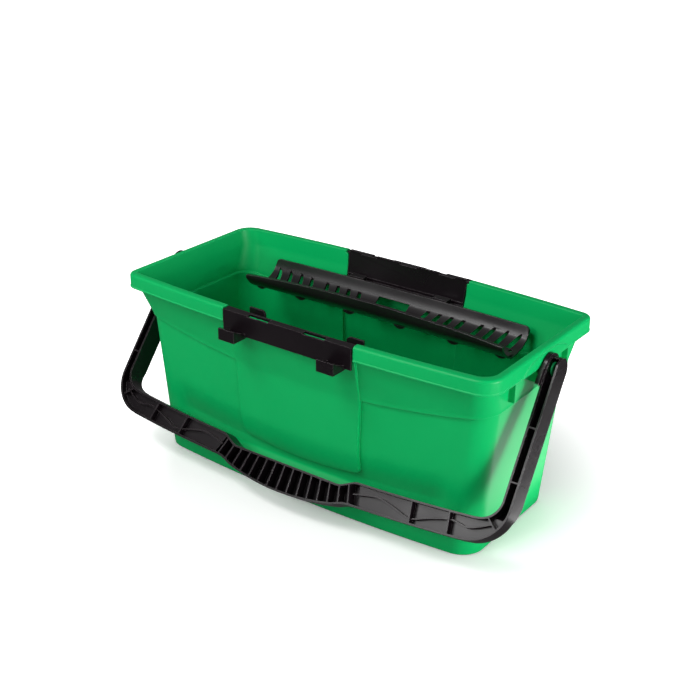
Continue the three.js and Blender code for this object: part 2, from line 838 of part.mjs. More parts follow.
// The front holder also has a leg inside the wall with two hooks on it.
function makeFrontHolder() {
  const inner = (x) => sideAt(mouth, x);
  const legFoot = seatTop - legDrop;
  const xs = [];
  for (let i = -arcSteps; i <= arcSteps; i += 1) xs.push((i / arcSteps) * legHalf);
  const leg = loft(xs.map((x) => [
    new THREE.Vector3(x, -inner(x) - legThickness, legFoot),
    new THREE.Vector3(x, -inner(x), legFoot),
    new THREE.Vector3(x, -inner(x), bandTop),
    new THREE.Vector3(x, -inner(x) - legThickness, bandTop),
  ]), "x");
  const floor = bandTop - innerHookDrop;
  const lipTop = floor + innerHookLip;
  const hook = (side) => {
    const low = side > 0 ? hookNear : -hookFar;
    const high = side > 0 ? hookFar : -hookNear;
    const root = inner(hookFar) + legThickness / 2;
    const lip = root - innerHookReach;
    const outline = [
      [low, floor],
      [high, floor],
      [high, side > 0 ? lipTop : lipTop - innerHookChamfer],
      [side > 0 ? high : high - innerHookChamfer, lipTop],
      [side > 0 ? low + innerHookChamfer : low, lipTop],
      [low, side > 0 ? lipTop - innerHookChamfer : lipTop],
    ].filter(([x, z], i, all) => i === 0 || x !== all[i - 1][0] || z !== all[i - 1][1]);
    return joined([
      slabAcrossY(outline, -lip - hookWall, -lip),
      box([low, -root, floor], [high, -lip, floor + hookWall]),
      box([low, -root, floor], [high, -root + legThickness, legFoot + hookWall]),
    ]);
  };
  return joined([outerClip(inner), leg, hook(1), hook(-1)]);
}

// The rear holder has a flat panel inside the wall instead, with a channel at its foot for the sieve.
const rearTop = plateBack - panelProud - wall - clearance;
const rearPanelFoot = bandTop - rearPanelDrop;
const channelFoot = rearPanelFoot - channelDepth;
const rearFoot = rearTop - rearPanelGap - (wallFace(0, skirtFoot) - wallFace(0, channelFoot));
const channelFloor = channelFoot + channelWall;
const channelLip = rearFoot - channelReach;

function makeRearHolder() {
  const panelAt = (x, z, back) => {
    const down = (bandTop - z) / rearPanelDrop;
    const half = mix(rearPanelTopHalf, rearPanelFootHalf, down);
    return new THREE.Vector3(x * half, mix(rearTop, rearFoot, down) + back, z);
  };
  const panel = loft([-1, 1].map((x) => [
    panelAt(x, rearPanelFoot, 0),
    panelAt(x, bandTop, 0),
    panelAt(x, bandTop, rearPanelThickness),
    panelAt(x, rearPanelFoot, rearPanelThickness),
  ]), "x");
  const channel = barAlongX([
    [rearFoot + rearPanelThickness, rearPanelFoot + overrun],
    [rearFoot, rearPanelFoot + overrun],
    [rearFoot, channelFloor],
    [channelLip + channelWall, channelFloor],
    [channelLip + channelWall, rearPanelFoot],
    [channelLip, rearPanelFoot],
    [channelLip, channelFoot],
    [rearFoot + rearPanelThickness, channelFoot],
  ], -rearPanelFootHalf, rearPanelFootHalf);
  const tabs = tabEdges.map(([from, to]) => box(
    [from, rearTop, bandTop - overrun],
    [to, rearTop + tabDepth, bandTop + tabHeight],
  ));
  const clip = outerClip(() => rearTop).rotate([0, 0, 180]);
  return joined([clip, panel, channel, ...tabs]);
}

// Sieve

const sieveRear = channelLip - sieveRearGap;

// The outline of the gutter's section, seen along X, from the top of its rear edge round to the top
// of its front edge.
function gutter(drop, frontTop, by) {
  const rearX = sieveRear - by;
  const frontX = sieveRear - sieveWidth + by;
  const foot = sieveRearTop - sieveDepth + by;
  const low = gutterShares.map(([y, z]) => [mix(frontX, rearX, y), mix(foot, sieveRearTop, z)]);
  return [[rearX, sieveRearTop - drop], ...low, [frontX + by / 2, frontTop]];
}

function makeSieve() {
  const straight = sieveHalf - sieveCorner;
  const xs = [];
  for (let i = -arcSteps; i <= arcSteps; i += 1) xs.push((straight * i) / arcSteps);
  for (let i = 1; i <= arcSteps; i += 1) {
    const x = straight + sieveCorner * Math.sin(((Math.PI / 2) * i) / arcSteps);
    xs.push(x);
    xs.unshift(-x);
  }
  const rings = [];
  for (const x of xs) {
    const middle = 1 - (x / sieveHalf) ** 2;
    const into = Math.max(0, Math.abs(x) - straight);
    const drop = sieveCorner - Math.sqrt(Math.max(0, sieveCorner ** 2 - into ** 2));
    const frontTop = sieveFrontTop + sieveFrontRise * middle;
    const section = [...gutter(drop, frontTop, 0), ...gutter(drop, frontTop, sieveWall).reverse()];
    rings.push(section.map(([y, z]) => new THREE.Vector3(x, y - sieveBow * (1 - middle), z)));
  }
  const foot = sieveRearTop - sieveDepth;
  const front = sieveRear - sieveWidth;
  const footY = front + sieveFootDepth;
  const feet = [];
  for (const place of sieveFootPlaces) {
    for (const x of [place, -place]) {
      const disc = discAlongY(sieveFootRadius, footY, footY + sieveFootDepth, x, foot + sieveFootRadius);
      const keep = box(
        [x - sieveFootRadius, footY - overrun, foot - overrun],
        [x + sieveFootRadius, footY + 2 * sieveFootDepth, foot + sieveWall * 2],
      );
      feet.push(disc.intersect(keep));
    }
  }
  const cuts = [];
  const half = sieveSlotWidth / 2;
  const slotFront = front + sieveFootDepth * 2 + sieveWall;
  const slotRear = sieveRear - sieveWall * 3;
  const slotTop = sieveRearTop - handHoleTop;
  for (const place of sieveSlotPlaces) {
    for (const x of [place, -place]) {
      cuts.push(box([x - half, slotFront, foot - overrun], [x + half, slotRear, slotTop]));
    }
  }
  for (const place of sieveHolePlaces) {
    for (const x of [place, -place]) {
      const hole = new THREE.CylinderGeometry(sieveHoleRadius, sieveHoleRadius, sieveDepth, arcSteps);
      cuts.push(solidOf(hole.rotateX(Math.PI / 2).translate(x, front + sieveWidth / 2, foot)));
    }
  }
  cuts.push(box(
    [-handHoleHalf, front + sieveWidth / 2 + sieveFootDepth, sieveRearTop - handHoleFoot],
    [handHoleHalf, sieveRear + overrun, sieveRearTop - handHoleTop],
  ));
  const tongueTop = Math.max(rearPanelFoot, sieveRearTop) + clearance + sieveHookThickness;
  const tongueEnd = channelLip + channelWall + clearance + sieveHookThickness;
  const hooks = [sieveHookPlace, -sieveHookPlace].map((x) => {
    const profile = [
      [sieveRear - sieveWall, sieveRearTop - sieveWall],
      [sieveRear, sieveRearTop - sieveWall],
      [sieveRear, tongueTop - sieveHookThickness],
      [tongueEnd - sieveHookThickness, tongueTop - sieveHookThickness],
      [tongueEnd - sieveHookThickness, tongueTop - sieveHookThickness - sieveHookDown],
      [tongueEnd, tongueTop - sieveHookThickness - sieveHookDown],
      [tongueEnd, tongueTop],
      [sieveRear - sieveWall, tongueTop],
    ];
    return barAlongX(profile, x - sieveHookHalf, x + sieveHookHalf);
  });
  return joined([loft(rings, "x"), ...feet]).subtract(joined(cuts)).add(joined(hooks));
}

const bucket = new THREE.Group();
bucket.add(meshOf("tub", makeTub(), green));

const handle = meshOf("handle", makeHandle(), black);
handle.rotation.x = -hangAngle;
handle.position.z = pivotHeight;
bucket.add(handle);

bucket.add(meshOf("front_tool_holder", makeFrontHolder(), black));
bucket.add(meshOf("rear_tool_holder", makeRearHolder(), black));
bucket.add(meshOf("sieve", makeSieve(), matt));

export default bucket;
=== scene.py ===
# %% [markdown]
# # A long cleaning bucket
#
# The real thing is a moulded green tub with a black carrying handle, a black tool holder clipped
# over each long side, and a black sieve that hangs inside. This lesson builds a finely rounded
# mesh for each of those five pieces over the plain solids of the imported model, and then gives
# each piece a plastic finish made with nodes.

import math
from collections import namedtuple

import bmesh
import bpy
from mathutils import Matrix, Vector


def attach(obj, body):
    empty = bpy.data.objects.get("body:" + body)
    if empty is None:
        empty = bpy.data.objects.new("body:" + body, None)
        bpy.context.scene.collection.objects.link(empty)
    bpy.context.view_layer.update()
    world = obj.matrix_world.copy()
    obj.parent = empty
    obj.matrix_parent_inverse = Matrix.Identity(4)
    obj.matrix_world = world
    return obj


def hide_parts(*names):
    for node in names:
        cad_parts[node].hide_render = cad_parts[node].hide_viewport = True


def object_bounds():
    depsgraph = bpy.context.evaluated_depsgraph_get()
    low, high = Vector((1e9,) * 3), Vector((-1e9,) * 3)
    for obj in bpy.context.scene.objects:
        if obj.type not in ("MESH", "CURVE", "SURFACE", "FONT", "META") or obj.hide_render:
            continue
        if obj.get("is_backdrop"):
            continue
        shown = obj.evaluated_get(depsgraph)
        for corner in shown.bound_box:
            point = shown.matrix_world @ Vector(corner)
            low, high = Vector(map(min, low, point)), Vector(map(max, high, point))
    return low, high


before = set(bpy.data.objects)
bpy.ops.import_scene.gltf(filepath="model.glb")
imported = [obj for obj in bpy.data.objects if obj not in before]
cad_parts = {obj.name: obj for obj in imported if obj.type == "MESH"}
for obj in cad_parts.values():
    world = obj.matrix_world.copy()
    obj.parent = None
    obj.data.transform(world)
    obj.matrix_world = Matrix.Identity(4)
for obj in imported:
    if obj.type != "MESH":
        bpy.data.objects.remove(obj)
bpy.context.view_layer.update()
MM = 0.001
print("nodes:", sorted(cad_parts))

# %% [markdown]
# ## The view
#
# The camera stands to the right of the front, a little above the rim. Its place comes from
# matching the outlines of the rim and the base, so it is given as an azimuth, an elevation, a
# small roll and a distance from a point inside the tub. Working out the three directions of the
# camera by hand keeps the roll exact, which a tracking constraint would lose.

# %% Place the camera
AZIMUTH = math.radians(35.698)
ELEVATION = math.radians(24.524)
ROLL = math.radians(0.651)
AIM = Vector((-1.53, 0, 174.11)) * MM
DISTANCE = 1.61105
LENS = 63.47
SENSOR_WIDTH = 36
NEAREST = 0.05

away = Vector((
    math.sin(AZIMUTH) * math.cos(ELEVATION),
    -math.cos(AZIMUTH) * math.cos(ELEVATION),
    math.sin(ELEVATION),
))
level = Vector((math.cos(AZIMUTH), math.sin(AZIMUTH), 0))
upright = away.cross(level)
rolled_right = level * math.cos(ROLL) + upright * math.sin(ROLL)
rolled_up = upright * math.cos(ROLL) - level * math.sin(ROLL)
camera_data = bpy.data.cameras.new("camera")
camera_data.lens = LENS
camera_data.sensor_width = SENSOR_WIDTH
camera_data.clip_start = NEAREST
camera = bpy.data.objects.new("camera", camera_data)
camera.matrix_world = Matrix.Translation(AIM + away * DISTANCE) @ Matrix(
    (rolled_right, rolled_up, away)).transposed().to_4x4()
bpy.context.scene.collection.objects.link(camera)
bpy.context.scene.camera = camera
print("camera at", [round(v, 4) for v in camera.matrix_world.translation])

# %% [markdown]
# ## Tools for building
#
# A moulded piece is easiest to describe as rings of points joined by faces, called a loft. Solid
# lofts can be added to and cut from each other with the Boolean modifier. Its manifold solver is
# quick and exact on closed meshes, so every shape here is closed. Lengths are in millimetres and
# turn into metres only when the mesh is made. Solids that are joined sink a little into each
# other, and solids that cut run a little past what they cut, so that no two faces coincide.

# %% Make a closed mesh from points and faces
MERGE_GAP = 0.00001


def closed_mesh(name, points, faces):
    mesh = bpy.data.meshes.new(name)
    mesh.from_pydata([Vector(point) * MM for point in points], [], faces)
    shape = bmesh.new()
    shape.from_mesh(mesh)
    bmesh.ops.remove_doubles(shape, verts=shape.verts, dist=MERGE_GAP * MM)
    bmesh.ops.recalc_face_normals(shape, faces=shape.faces)
    if shape.calc_volume(signed=True) < 0:
        bmesh.ops.reverse_faces(shape, faces=shape.faces)
    shape.to_mesh(mesh)
    shape.free()
    piece = bpy.data.objects.new(name, mesh)
    bpy.context.scene.collection.objects.link(piece)
    return piece


def loft(name, rings):
    count = len(rings[0])
    faces = []
    for ring in range(len(rings) - 1):
        start = ring * count
        for i in range(count):
            after = (i + 1) % count
            faces.append((start + i, start + after, start + after + count, start + i + count))
    last = (len(rings) - 1) * count
    faces.append(tuple(reversed(range(count))))
    faces.append(tuple(range(last, last + count)))
    return closed_mesh(name, [point for ring in rings for point in ring], faces)


# %% Make simple solids: a block, bars and turned shapes
def block(low, high):
    corners = [(low[0], low[1]), (high[0], low[1]), (high[0], high[1]), (low[0], high[1])]
    return loft("block", [[(x, y, z) for x, y in corners] for z in (low[2], high[2])])


def bar_along_x(outline, low, high):
    return loft("bar", [[(x, y, z) for y, z in outline] for x in (low, high)])


def slab_across_y(outline, low, high):
    return loft("slab", [[(x, y, z) for x, z in outline] for y in (low, high)])


def turned(profile, centre, axis, steps=48):
    """Turns a profile of (place along the axis, radius) round an axis through a centre."""
    along = "xyz".index(axis)
    rings = []
    for place, radius in profile:
        ring = []
        for i in range(steps):
            angle = 2 * math.pi * i / steps
            across = [radius * math.cos(angle), radius * math.sin(angle)]
            across.insert(along, place)
            ring.append([a + b for a, b in zip(across, centre)])
        rings.append(ring)
    return loft("turned", rings)


def curved_bar(half, front_at, back_at, low, high, steps=24):
    """A bar along X whose front and back are functions of x."""
    rings = []
    for i in range(-steps, steps + 1):
        x = i / steps * half
        front, back = front_at(x), back_at(x)
        rings.append([(x, front, low), (x, back, low), (x, back, high), (x, front, high)])
    return loft("curved_bar", rings)


# %% Add shapes together, cut them, and turn or mirror copies of them
def combine(piece, others, operation):
    for other in others:
        step = piece.modifiers.new(operation.lower(), "BOOLEAN")
        step.operation = operation
        step.solver = "MANIFOLD"
        step.object = other
    graph = bpy.context.evaluated_depsgraph_get()
    result = bpy.data.meshes.new_from_object(piece.evaluated_get(graph))
    piece.modifiers.clear()
    piece.data = result
    for other in others:
        bpy.data.objects.remove(other)
    return piece


def twin(piece, matrix):
    """A copy moved by a matrix. A mirroring matrix turns the faces, so they are turned back."""
    mesh = piece.data.copy()
    mesh.transform(matrix)
    if matrix.determinant() < 0:
        mesh.flip_normals()
    copy = bpy.data.objects.new(piece.name, mesh)
    bpy.context.scene.collection.objects.link(copy)
    return copy


HALF_TURN = Matrix.Rotation(math.pi, 4, "Z")
MIRROR_X = Matrix.Diagonal((-1, 1, 1, 1))


def with_twin(piece, matrix):
    return [piece, twin(piece, matrix)]


# %% Small sums and lengths used throughout
SINK = 0.5
OVERRUN = 1
SHARP = 0.01
ARC_STEPS = 32


def mix(low, high, share):
    return low + (high - low) * share


def ease(value, low, high):
    share = min(1, max(0, (value - low) / (high - low)))
    return share * share * (3 - 2 * share)


def rounding(radius, steps):
    """Pairs of (inset, drop) along a quarter circle, from the side of an edge to its top."""
    angles = [math.pi / 2 * i / steps for i in range(steps + 1)]
    return [(radius * (1 - math.cos(a)), radius * (1 - math.sin(a))) for a in angles]


def both_sides(places):
    return [x for place in places for x in (place, -place)]


def arch(radius):
    """The upper half of a circle, from left to right."""
    turn = [math.pi - math.pi * i / ARC_STEPS for i in range(ARC_STEPS + 1)]
    return [(radius * math.cos(a), radius * math.sin(a)) for a in turn]


def smooth(points, steps=5):
    """A curve that passes through all the points, with a few steps between each two."""
    ends = [points[0]] + points + [points[-1]]
    curve = []
    for a, b, c, d in zip(ends, ends[1:], ends[2:], ends[3:]):
        for i in range(steps):
            t = i / steps
            curve.append(tuple(
                0.5 * (2 * q + (r - p) * t + (2 * p - 5 * q + 4 * r - s) * t ** 2
                       + (3 * q - p - 3 * r + s) * t ** 3)
                for p, q, r, s in zip(a, b, c, d)))
    return curve + [points[-1]]


# %% [markdown]
# ## The outlines of the tub
#
# Seen from above, each long side of the tub is one shallow arc, and a smaller arc turns the
# corner into the straight end. Three such outlines, at the base, at the crease and at the neck
# under the rim, give the whole wall. Two corners that face each other across the tub are sharper
# near the rim, so that the tub pours cleanly there. The crease is a smile-shaped bend: it is low
# in the middle of the tub and rises towards the corners. The wall above it overhangs a little.

# %% Describe the outlines
Outline = namedtuple("Outline", "length width bow corner pour")
RIM = Outline(560, 247, 13.5, 26, 16)
NECK = Outline(538, 232, 13.5, 24, 10)
SHOULDER = Outline(530, 202, 13, 28, 28)
BASE = Outline(497, 190, 14, 31, 31)
TUB_HEIGHT = 255.2
WALL = 3
FLANGE_WIDTH = 10.5
FLANGE_WALL = 3
FLANGE_FOOT = TUB_HEIGHT - FLANGE_WALL
SKIRT_WALL = 2.5
SKIRT_DEPTH = 19.4
SKIRT_FOOT = TUB_HEIGHT - SKIRT_DEPTH
SHOULDER_DROP = 82
SHOULDER_MIDDLE = TUB_HEIGHT - SHOULDER_DROP
SHOULDER_RISE = 24.5
MOUTH_CORNER = 20
MOUTH_POUR = 4
SIDE_STEPS = 40
CORNER_STEPS = 14


def inset(outline, by):
    length, width, bow, corner, pour = outline
    return Outline(length - 2 * by, width - 2 * by, bow, corner - by, pour - by)


MOUTH = inset(RIM, FLANGE_WIDTH)._replace(corner=MOUTH_CORNER, pour=MOUTH_POUR)


# %% Walk round an outline
def arcs_of(outline):
    half = outline.length / 2
    radius = (half ** 2 + outline.bow ** 2) / (2 * outline.bow)
    centre = radius - (outline.width / 2 + outline.bow)
    corner_x = half - outline.corner
    corner_y = centre - math.sqrt((radius - outline.corner) ** 2 - corner_x ** 2)
    return radius, centre, corner_x, corner_y


def quarter_of(outline):
    radius, centre, corner_x, corner_y = arcs_of(outline)
    turn = math.atan2(corner_y - centre, corner_x)
    quarter = []
    for i in range(SIDE_STEPS + 1):
        angle = mix(-math.pi / 2, turn, i / SIDE_STEPS)
        quarter.append((radius * math.cos(angle), centre + radius * math.sin(angle)))
    for i in range(1, CORNER_STEPS + 1):
        angle = mix(turn, 0, i / CORNER_STEPS)
        across = outline.corner * math.cos(angle), outline.corner * math.sin(angle)
        quarter.append((corner_x + across[0], corner_y + across[1]))
    quarter[0] = (0, quarter[0][1])
    return quarter


def outline_ring(outline):
    quarter = quarter_of(outline)
    back = quarter_of(outline._replace(corner=outline.pour))[::-1]
    ring = quarter + [(x, -y) for x, y in back]
    return ring + [(-x, -y) for x, y in quarter[1:]] + [(-x, y) for x, y in back[:-1]]


def side_at(outline, x):
    radius, centre, _, _ = arcs_of(outline)
    return math.sqrt(radius ** 2 - x ** 2) - centre


def flat_ring(outline, z):
    return [(x, y, z) for x, y in outline_ring(outline)]


# %% [markdown]
# ## The hollow for the fingers
#
# Along the foot of each long side the wall leans in by 8 mm, so that fingers fit between the
# wall and the hanging handle. The lean is a smooth function of the place on the wall. It grows
# slowly from the top of the hollow down, melts into the wall at its ends and stops above a plinth,
# so the hollow shows as a shade that darkens downwards.

# %% Shape the wall
SCOOP_DEPTH = 8
SCOOP_TOP = 102
SCOOP_TOP_RISE = 10
SCOOP_SHADE = 42
SCOOP_CURVE = 1.25
SCOOP_LOW = 52
SCOOP_HALF = 232
SCOOP_FADE = 27
PLINTH = 40
CREASE_SOFTNESS = 0.3
LEDGE = 2.6
CREASE_BEAD = 0.5
CREASE_BEAD_HEIGHT = 1.6


def shoulder_height(x):
    return SHOULDER_MIDDLE + SHOULDER_RISE * (x / (SHOULDER.length / 2)) ** 2


def scoop_height(x):
    return SCOOP_TOP + SCOOP_TOP_RISE * (x / SCOOP_HALF) ** 2


def scoop_at(x, z):
    along = 1 - ease(abs(x), SCOOP_HALF - SCOOP_FADE, SCOOP_HALF)
    above = min(1, max(0, (scoop_height(x) - z) / SCOOP_SHADE)) ** SCOOP_CURVE
    return SCOOP_DEPTH * along * above * ease(z, PLINTH, SCOOP_LOW)


def bent(low, middle, high, kink, z):
    """A straight line up to the crease and another above it, with the crease softened."""
    below = (middle - low) / kink
    above = (high - middle) / (SKIRT_FOOT - kink)
    near = max(0, CREASE_SOFTNESS - abs(z - kink))
    line = middle + (below if z < kink else above) * (z - kink)
    return line + (above - below) * near ** 2 / (4 * CREASE_SOFTNESS)


def wall_face(x, z):
    low, middle, high = side_at(BASE, x), side_at(SHOULDER, x), side_at(NECK, x)
    return bent(low, middle, high, shoulder_height(x), min(z, SKIRT_FOOT))


def wall_ring(height_at, by):
    rings = [outline_ring(inset(outline, by)) for outline in (BASE, SHOULDER, NECK)]
    ring = []
    for low, middle, high in zip(*rings):
        kink = shoulder_height(middle[0])
        z = height_at(middle[0])
        x = bent(low[0], middle[0], high[0], kink, z)
        y = bent(low[1], middle[1], high[1], kink, z)
        lean = scoop_at(middle[0], z)
        ring.append((x, y - math.copysign(min(lean, abs(y)), y), z))
    return ring


# %% [markdown]
# ## The wall, the floor and the rolled rim
#
# The wall steps out at the crease, with a small bead along the step that catches the light. The
# inside steps out with it, so a pale line shows there too. The rim turns outwards over a hanging
# skirt. Its rounded outer edge and a thin bead along the foot of the skirt catch the light as well.
# A shallow groove runs under the edge of the base. The tub is made as if it were solid, and the
# space inside it is a second solid that is cut away at the end, so that the ribs and bosses added
# outside can't poke through to the inside.

# %% Heights of the rings of the wall
WALL_STEPS = 8


def between(low_at, high_at, count, out=(0, 0)):
    """Rings that run evenly from one height to the other, the first left out. Each is a height
    function and how far the ring stands out."""
    shares = [i / count for i in range(1, count + 1)]
    return [((lambda x, s=s: mix(low_at(x), high_at(x), s)), mix(*out, s)) for s in shares]


def shade_foot(x):
    return scoop_height(x) - SCOOP_SHADE


def crease_foot(x):
    return shoulder_height(x) - CREASE_SOFTNESS


def crease_top(x):
    return shoulder_height(x) + CREASE_SOFTNESS


def bead_top(x):
    return crease_top(x) + CREASE_BEAD_HEIGHT


WALL_RINGS = [(lambda x: PLINTH, 0)]
WALL_RINGS += between(lambda x: PLINTH, lambda x: SCOOP_LOW, WALL_STEPS)
WALL_RINGS += between(lambda x: SCOOP_LOW, shade_foot, WALL_STEPS)
WALL_RINGS += between(shade_foot, scoop_height, WALL_STEPS)
WALL_RINGS += between(scoop_height, crease_foot, WALL_STEPS)
WALL_RINGS += between(crease_foot, crease_top, 1, (0, LEDGE + CREASE_BEAD))
WALL_RINGS += between(crease_top, bead_top, 1, (LEDGE + CREASE_BEAD, LEDGE))
WALL_RINGS += between(bead_top, lambda x: SKIRT_FOOT, WALL_STEPS, (LEDGE, 0))
print("rings up the wall:", len(WALL_RINGS))

# %% The outside of the tub
BASE_EDGE = 4
RIM_ROUNDING = 3.8
LIP_ROUNDING = 0.8
LIP_BEAD = 0.6
LIP_BEAD_SIDE = 1.8
LIP_BEAD_TOP = 2.6


def tub_outside():
    apron = inset(RIM, SKIRT_WALL)
    rings = [flat_ring(inset(BASE, BASE_EDGE), 0)]
    rings += [flat_ring(inset(BASE, by), BASE_EDGE - drop)
              for drop, by in rounding(BASE_EDGE, steps=5)[1:-1]]
    rings.append(wall_ring(lambda x: BASE_EDGE, 0))
    rings += [wall_ring(height_at, -out) for height_at, out in WALL_RINGS]
    rings += [flat_ring(inset(MOUTH, -WALL), FLANGE_FOOT), flat_ring(apron, FLANGE_FOOT)]
    rings += [flat_ring(apron, SKIRT_FOOT), flat_ring(inset(RIM, SKIRT_WALL / 2), SKIRT_FOOT)]
    rings += [flat_ring(inset(RIM, by - LIP_BEAD), SKIRT_FOOT + drop)
              for by, drop in reversed(rounding(LIP_ROUNDING, steps=3))]
    rings += [flat_ring(inset(RIM, -LIP_BEAD), SKIRT_FOOT + LIP_BEAD_SIDE),
              flat_ring(RIM, SKIRT_FOOT + LIP_BEAD_TOP)]
    rings += [flat_ring(inset(RIM, by), TUB_HEIGHT - drop)
              for by, drop in rounding(RIM_ROUNDING, steps=6)]
    return loft("tub_outside", rings)


# %% The space inside the tub
FLOOR = 3.5
FLOOR_FILLET = 9
MOUTH_ROUNDING = 1.5


def tub_inside():
    rings = [flat_ring(inset(BASE, WALL + by), FLOOR + drop)
             for by, drop in reversed(rounding(FLOOR_FILLET, steps=6)[1:])]
    rings.append(wall_ring(lambda x: FLOOR + FLOOR_FILLET, WALL))
    rings += [wall_ring(height_at, WALL - out) for height_at, out in WALL_RINGS]
    rings += [flat_ring(inset(MOUTH, -by), TUB_HEIGHT - drop)
              for by, drop in rounding(MOUTH_ROUNDING, steps=3)]
    rings.append(flat_ring(inset(MOUTH, -MOUTH_ROUNDING), TUB_HEIGHT + OVERRUN))
    return loft("tub_inside", rings)


tub = tub_outside()
inside = tub_inside()
print("faces outside and inside:", len(tub.data.polygons), len(inside.data.polygons))

# %% [markdown]
# ## The raised panel
#
# A plain panel stands out in the middle of each long side, from above the foot up into the rim.
# It follows the wall, and it is hollow behind. One function makes both the panel and its hollow,
# as a loft of upright sections. The edge of the panel is rounded by letting its face fall back
# near the sides and the foot.

# %% Build the panel and its hollow
PANEL_PROUD = 4.5
PANEL_TOP_HALF = 100
PANEL_FOOT_HALF = 92
PANEL_FOOT = 63
PANEL_FOOT_RISE = 8
PANEL_CORNER = 7
PANEL_EDGE = 1.2
PANEL_STEPS = 26
PANEL_RISE_STEPS = 34
EDGE_STEPS = 4


def fall(near, radius):
    """How far a rounded edge has fallen back, at a distance from it."""
    if near >= radius:
        return 0
    return radius - math.sqrt(radius ** 2 - (radius - near) ** 2)


def panel_slab(front, back, margin, top, edge):
    half = PANEL_FOOT_HALF - margin
    steps = [edge * (1 - math.cos(math.pi / 2 * i / EDGE_STEPS)) / half
             for i in range(EDGE_STEPS + 1)]
    shares = [1 - s for s in steps]
    shares += [shares[-1] * math.sin(math.pi / 2 * (1 - i / PANEL_STEPS))
               for i in range(1, PANEL_STEPS)]
    shares += [0] + [-s for s in reversed(shares)]
    rings = []
    for share in reversed(shares):
        x = abs(share) * half
        into = max(0, x - (half - PANEL_CORNER))
        corner = PANEL_CORNER - math.sqrt(max(0, PANEL_CORNER ** 2 - into ** 2))
        foot = PANEL_FOOT + margin + PANEL_FOOT_RISE * (x / half) ** 2 + corner
        heights = [foot + s * half for s in steps]
        heights += [mix(heights[-1], top, i / PANEL_RISE_STEPS)
                    for i in range(1, PANEL_RISE_STEPS + 1)]

        def spot(z, out):
            up = (z - PANEL_FOOT) / (TUB_HEIGHT - PANEL_FOOT)
            place = share * (mix(PANEL_FOOT_HALF, PANEL_TOP_HALF, up) - margin)
            return place, -(wall_face(place, z) + out - scoop_at(place, z)), z

        face = []
        for z in heights:
            near = min((1 - abs(share)) * half, z - foot)
            face.append(spot(z, front - fall(near, edge)))
        rings.append(face + [spot(z, back) for z in reversed(heights)])
    return loft("panel", rings)


raised = panel_slab(PANEL_PROUD, -WALL / 2, 0, FLANGE_FOOT + SINK, PANEL_EDGE)
hollow = panel_slab(PANEL_PROUD - WALL, -4 * WALL, WALL, TUB_HEIGHT + OVERRUN, SHARP)
print("panel faces:", len(raised.data.polygons))

# %% [markdown]
# ## The pivot ends
#
# The handle turns on a headed stud on each end. Outside the rim, the stud stands on a shallow
# dome. Below the rim a box-shaped boss carries it, with a thin gusset on each side.

# %% Build what stands on one end
RIM_HALF = RIM.length / 2
PIVOT_HEIGHT = 230.7
PAD_PROUD = 1.1
PAD_FACE = RIM_HALF + PAD_PROUD
ARM_OUTER = 300.6
ARM_WIDTH = 14
HANDLE_WALL = 2.5
EYE_THICKNESS = 3.6
GAP = 0.3
HEAD_CLEARANCE = 0.9
HEAD_THICKNESS = 2.4
STUD_TIP = ARM_OUTER - ARM_WIDTH + HANDLE_WALL + HEAD_CLEARANCE + HEAD_THICKNESS
STUD_RADIUS = 7
HEAD_RADIUS = 8.8
HEAD_EDGE = [(0.9, HEAD_RADIUS), (0.3, 8.1), (0, 6.6)]
COLLAR_RADIUS = 11
ROOT = 1.5
GUSSET_PLACE = 64.5
GUSSET_HALF = 1.5
GUSSET_REACH = 11.5
GUSSET_DROP = 28
BOSS_HALF = 21
BOSS_DROP = 12.7
BOSS_SHY = 0.3
FACE_ROOT = 1.3
PAD_SECTION = [(0, RIM_HALF - SKIRT_WALL / 2), (0, RIM_HALF),
               (0.3, PAD_FACE - 0.35), (1, PAD_FACE)]
PAD_HALF, PAD_FACE_HALF = 54, 52
PAD_RISE, PAD_FACE_RISE = 16, 14.5
PAD_FACE_LIFT = 0.4


def pivot_end():
    wall_side = SHOULDER.length / 2
    gusset_foot = SKIRT_FOOT - GUSSET_DROP
    shapes = []
    for y in (-GUSSET_PLACE, GUSSET_PLACE):
        shapes.append(block((wall_side - ROOT, y - GUSSET_HALF, gusset_foot),
                            (wall_side + GUSSET_REACH, y + GUSSET_HALF, FLANGE_FOOT + SINK)))
    boss_foot = PIVOT_HEIGHT - BOSS_DROP
    shapes.append(block((wall_side - ROOT, -BOSS_HALF, boss_foot),
                        (RIM_HALF - BOSS_SHY, BOSS_HALF, FLANGE_FOOT + SINK)))
    rings = []
    for share, x in PAD_SECTION:
        foot = SKIRT_FOOT + share * PAD_FACE_LIFT
        half, rise = mix(PAD_HALF, PAD_FACE_HALF, share), mix(PAD_RISE, PAD_FACE_RISE, share)
        rings.append([(x, half * y, foot + rise * z) for y, z in arch(1)[::-1]])
    shapes.append(loft("pad", rings))
    shapes.append(block((RIM_HALF - FACE_ROOT, -BOSS_HALF, boss_foot),
                        (PAD_FACE, BOSS_HALF, PIVOT_HEIGHT)))
    start = PAD_FACE - 2 * SINK
    collar_end = ARM_OUTER - ARM_WIDTH - EYE_THICKNESS - GAP
    collar = [(start, COLLAR_RADIUS), (collar_end, COLLAR_RADIUS)]
    stud = [(start, STUD_RADIUS), (STUD_TIP - HEAD_THICKNESS, STUD_RADIUS),
            (STUD_TIP - HEAD_THICKNESS + SHARP, HEAD_RADIUS)]
    stud += [(STUD_TIP - back, radius) for back, radius in HEAD_EDGE]
    shapes += [turned(profile, (0, 0, PIVOT_HEIGHT), "x") for profile in (collar, stud)]
    first = shapes.pop(0)
    return combine(first, shapes, "UNION")


end = pivot_end()
print("pivot end faces:", len(end.data.polygons))

# %% [markdown]
# ## Cutting the seats and joining the tub
#
# The rim is cut away where each tool holder sits, down to the raised panel, so that the holder
# lies flush. Then everything is joined, and the inside is taken out last.

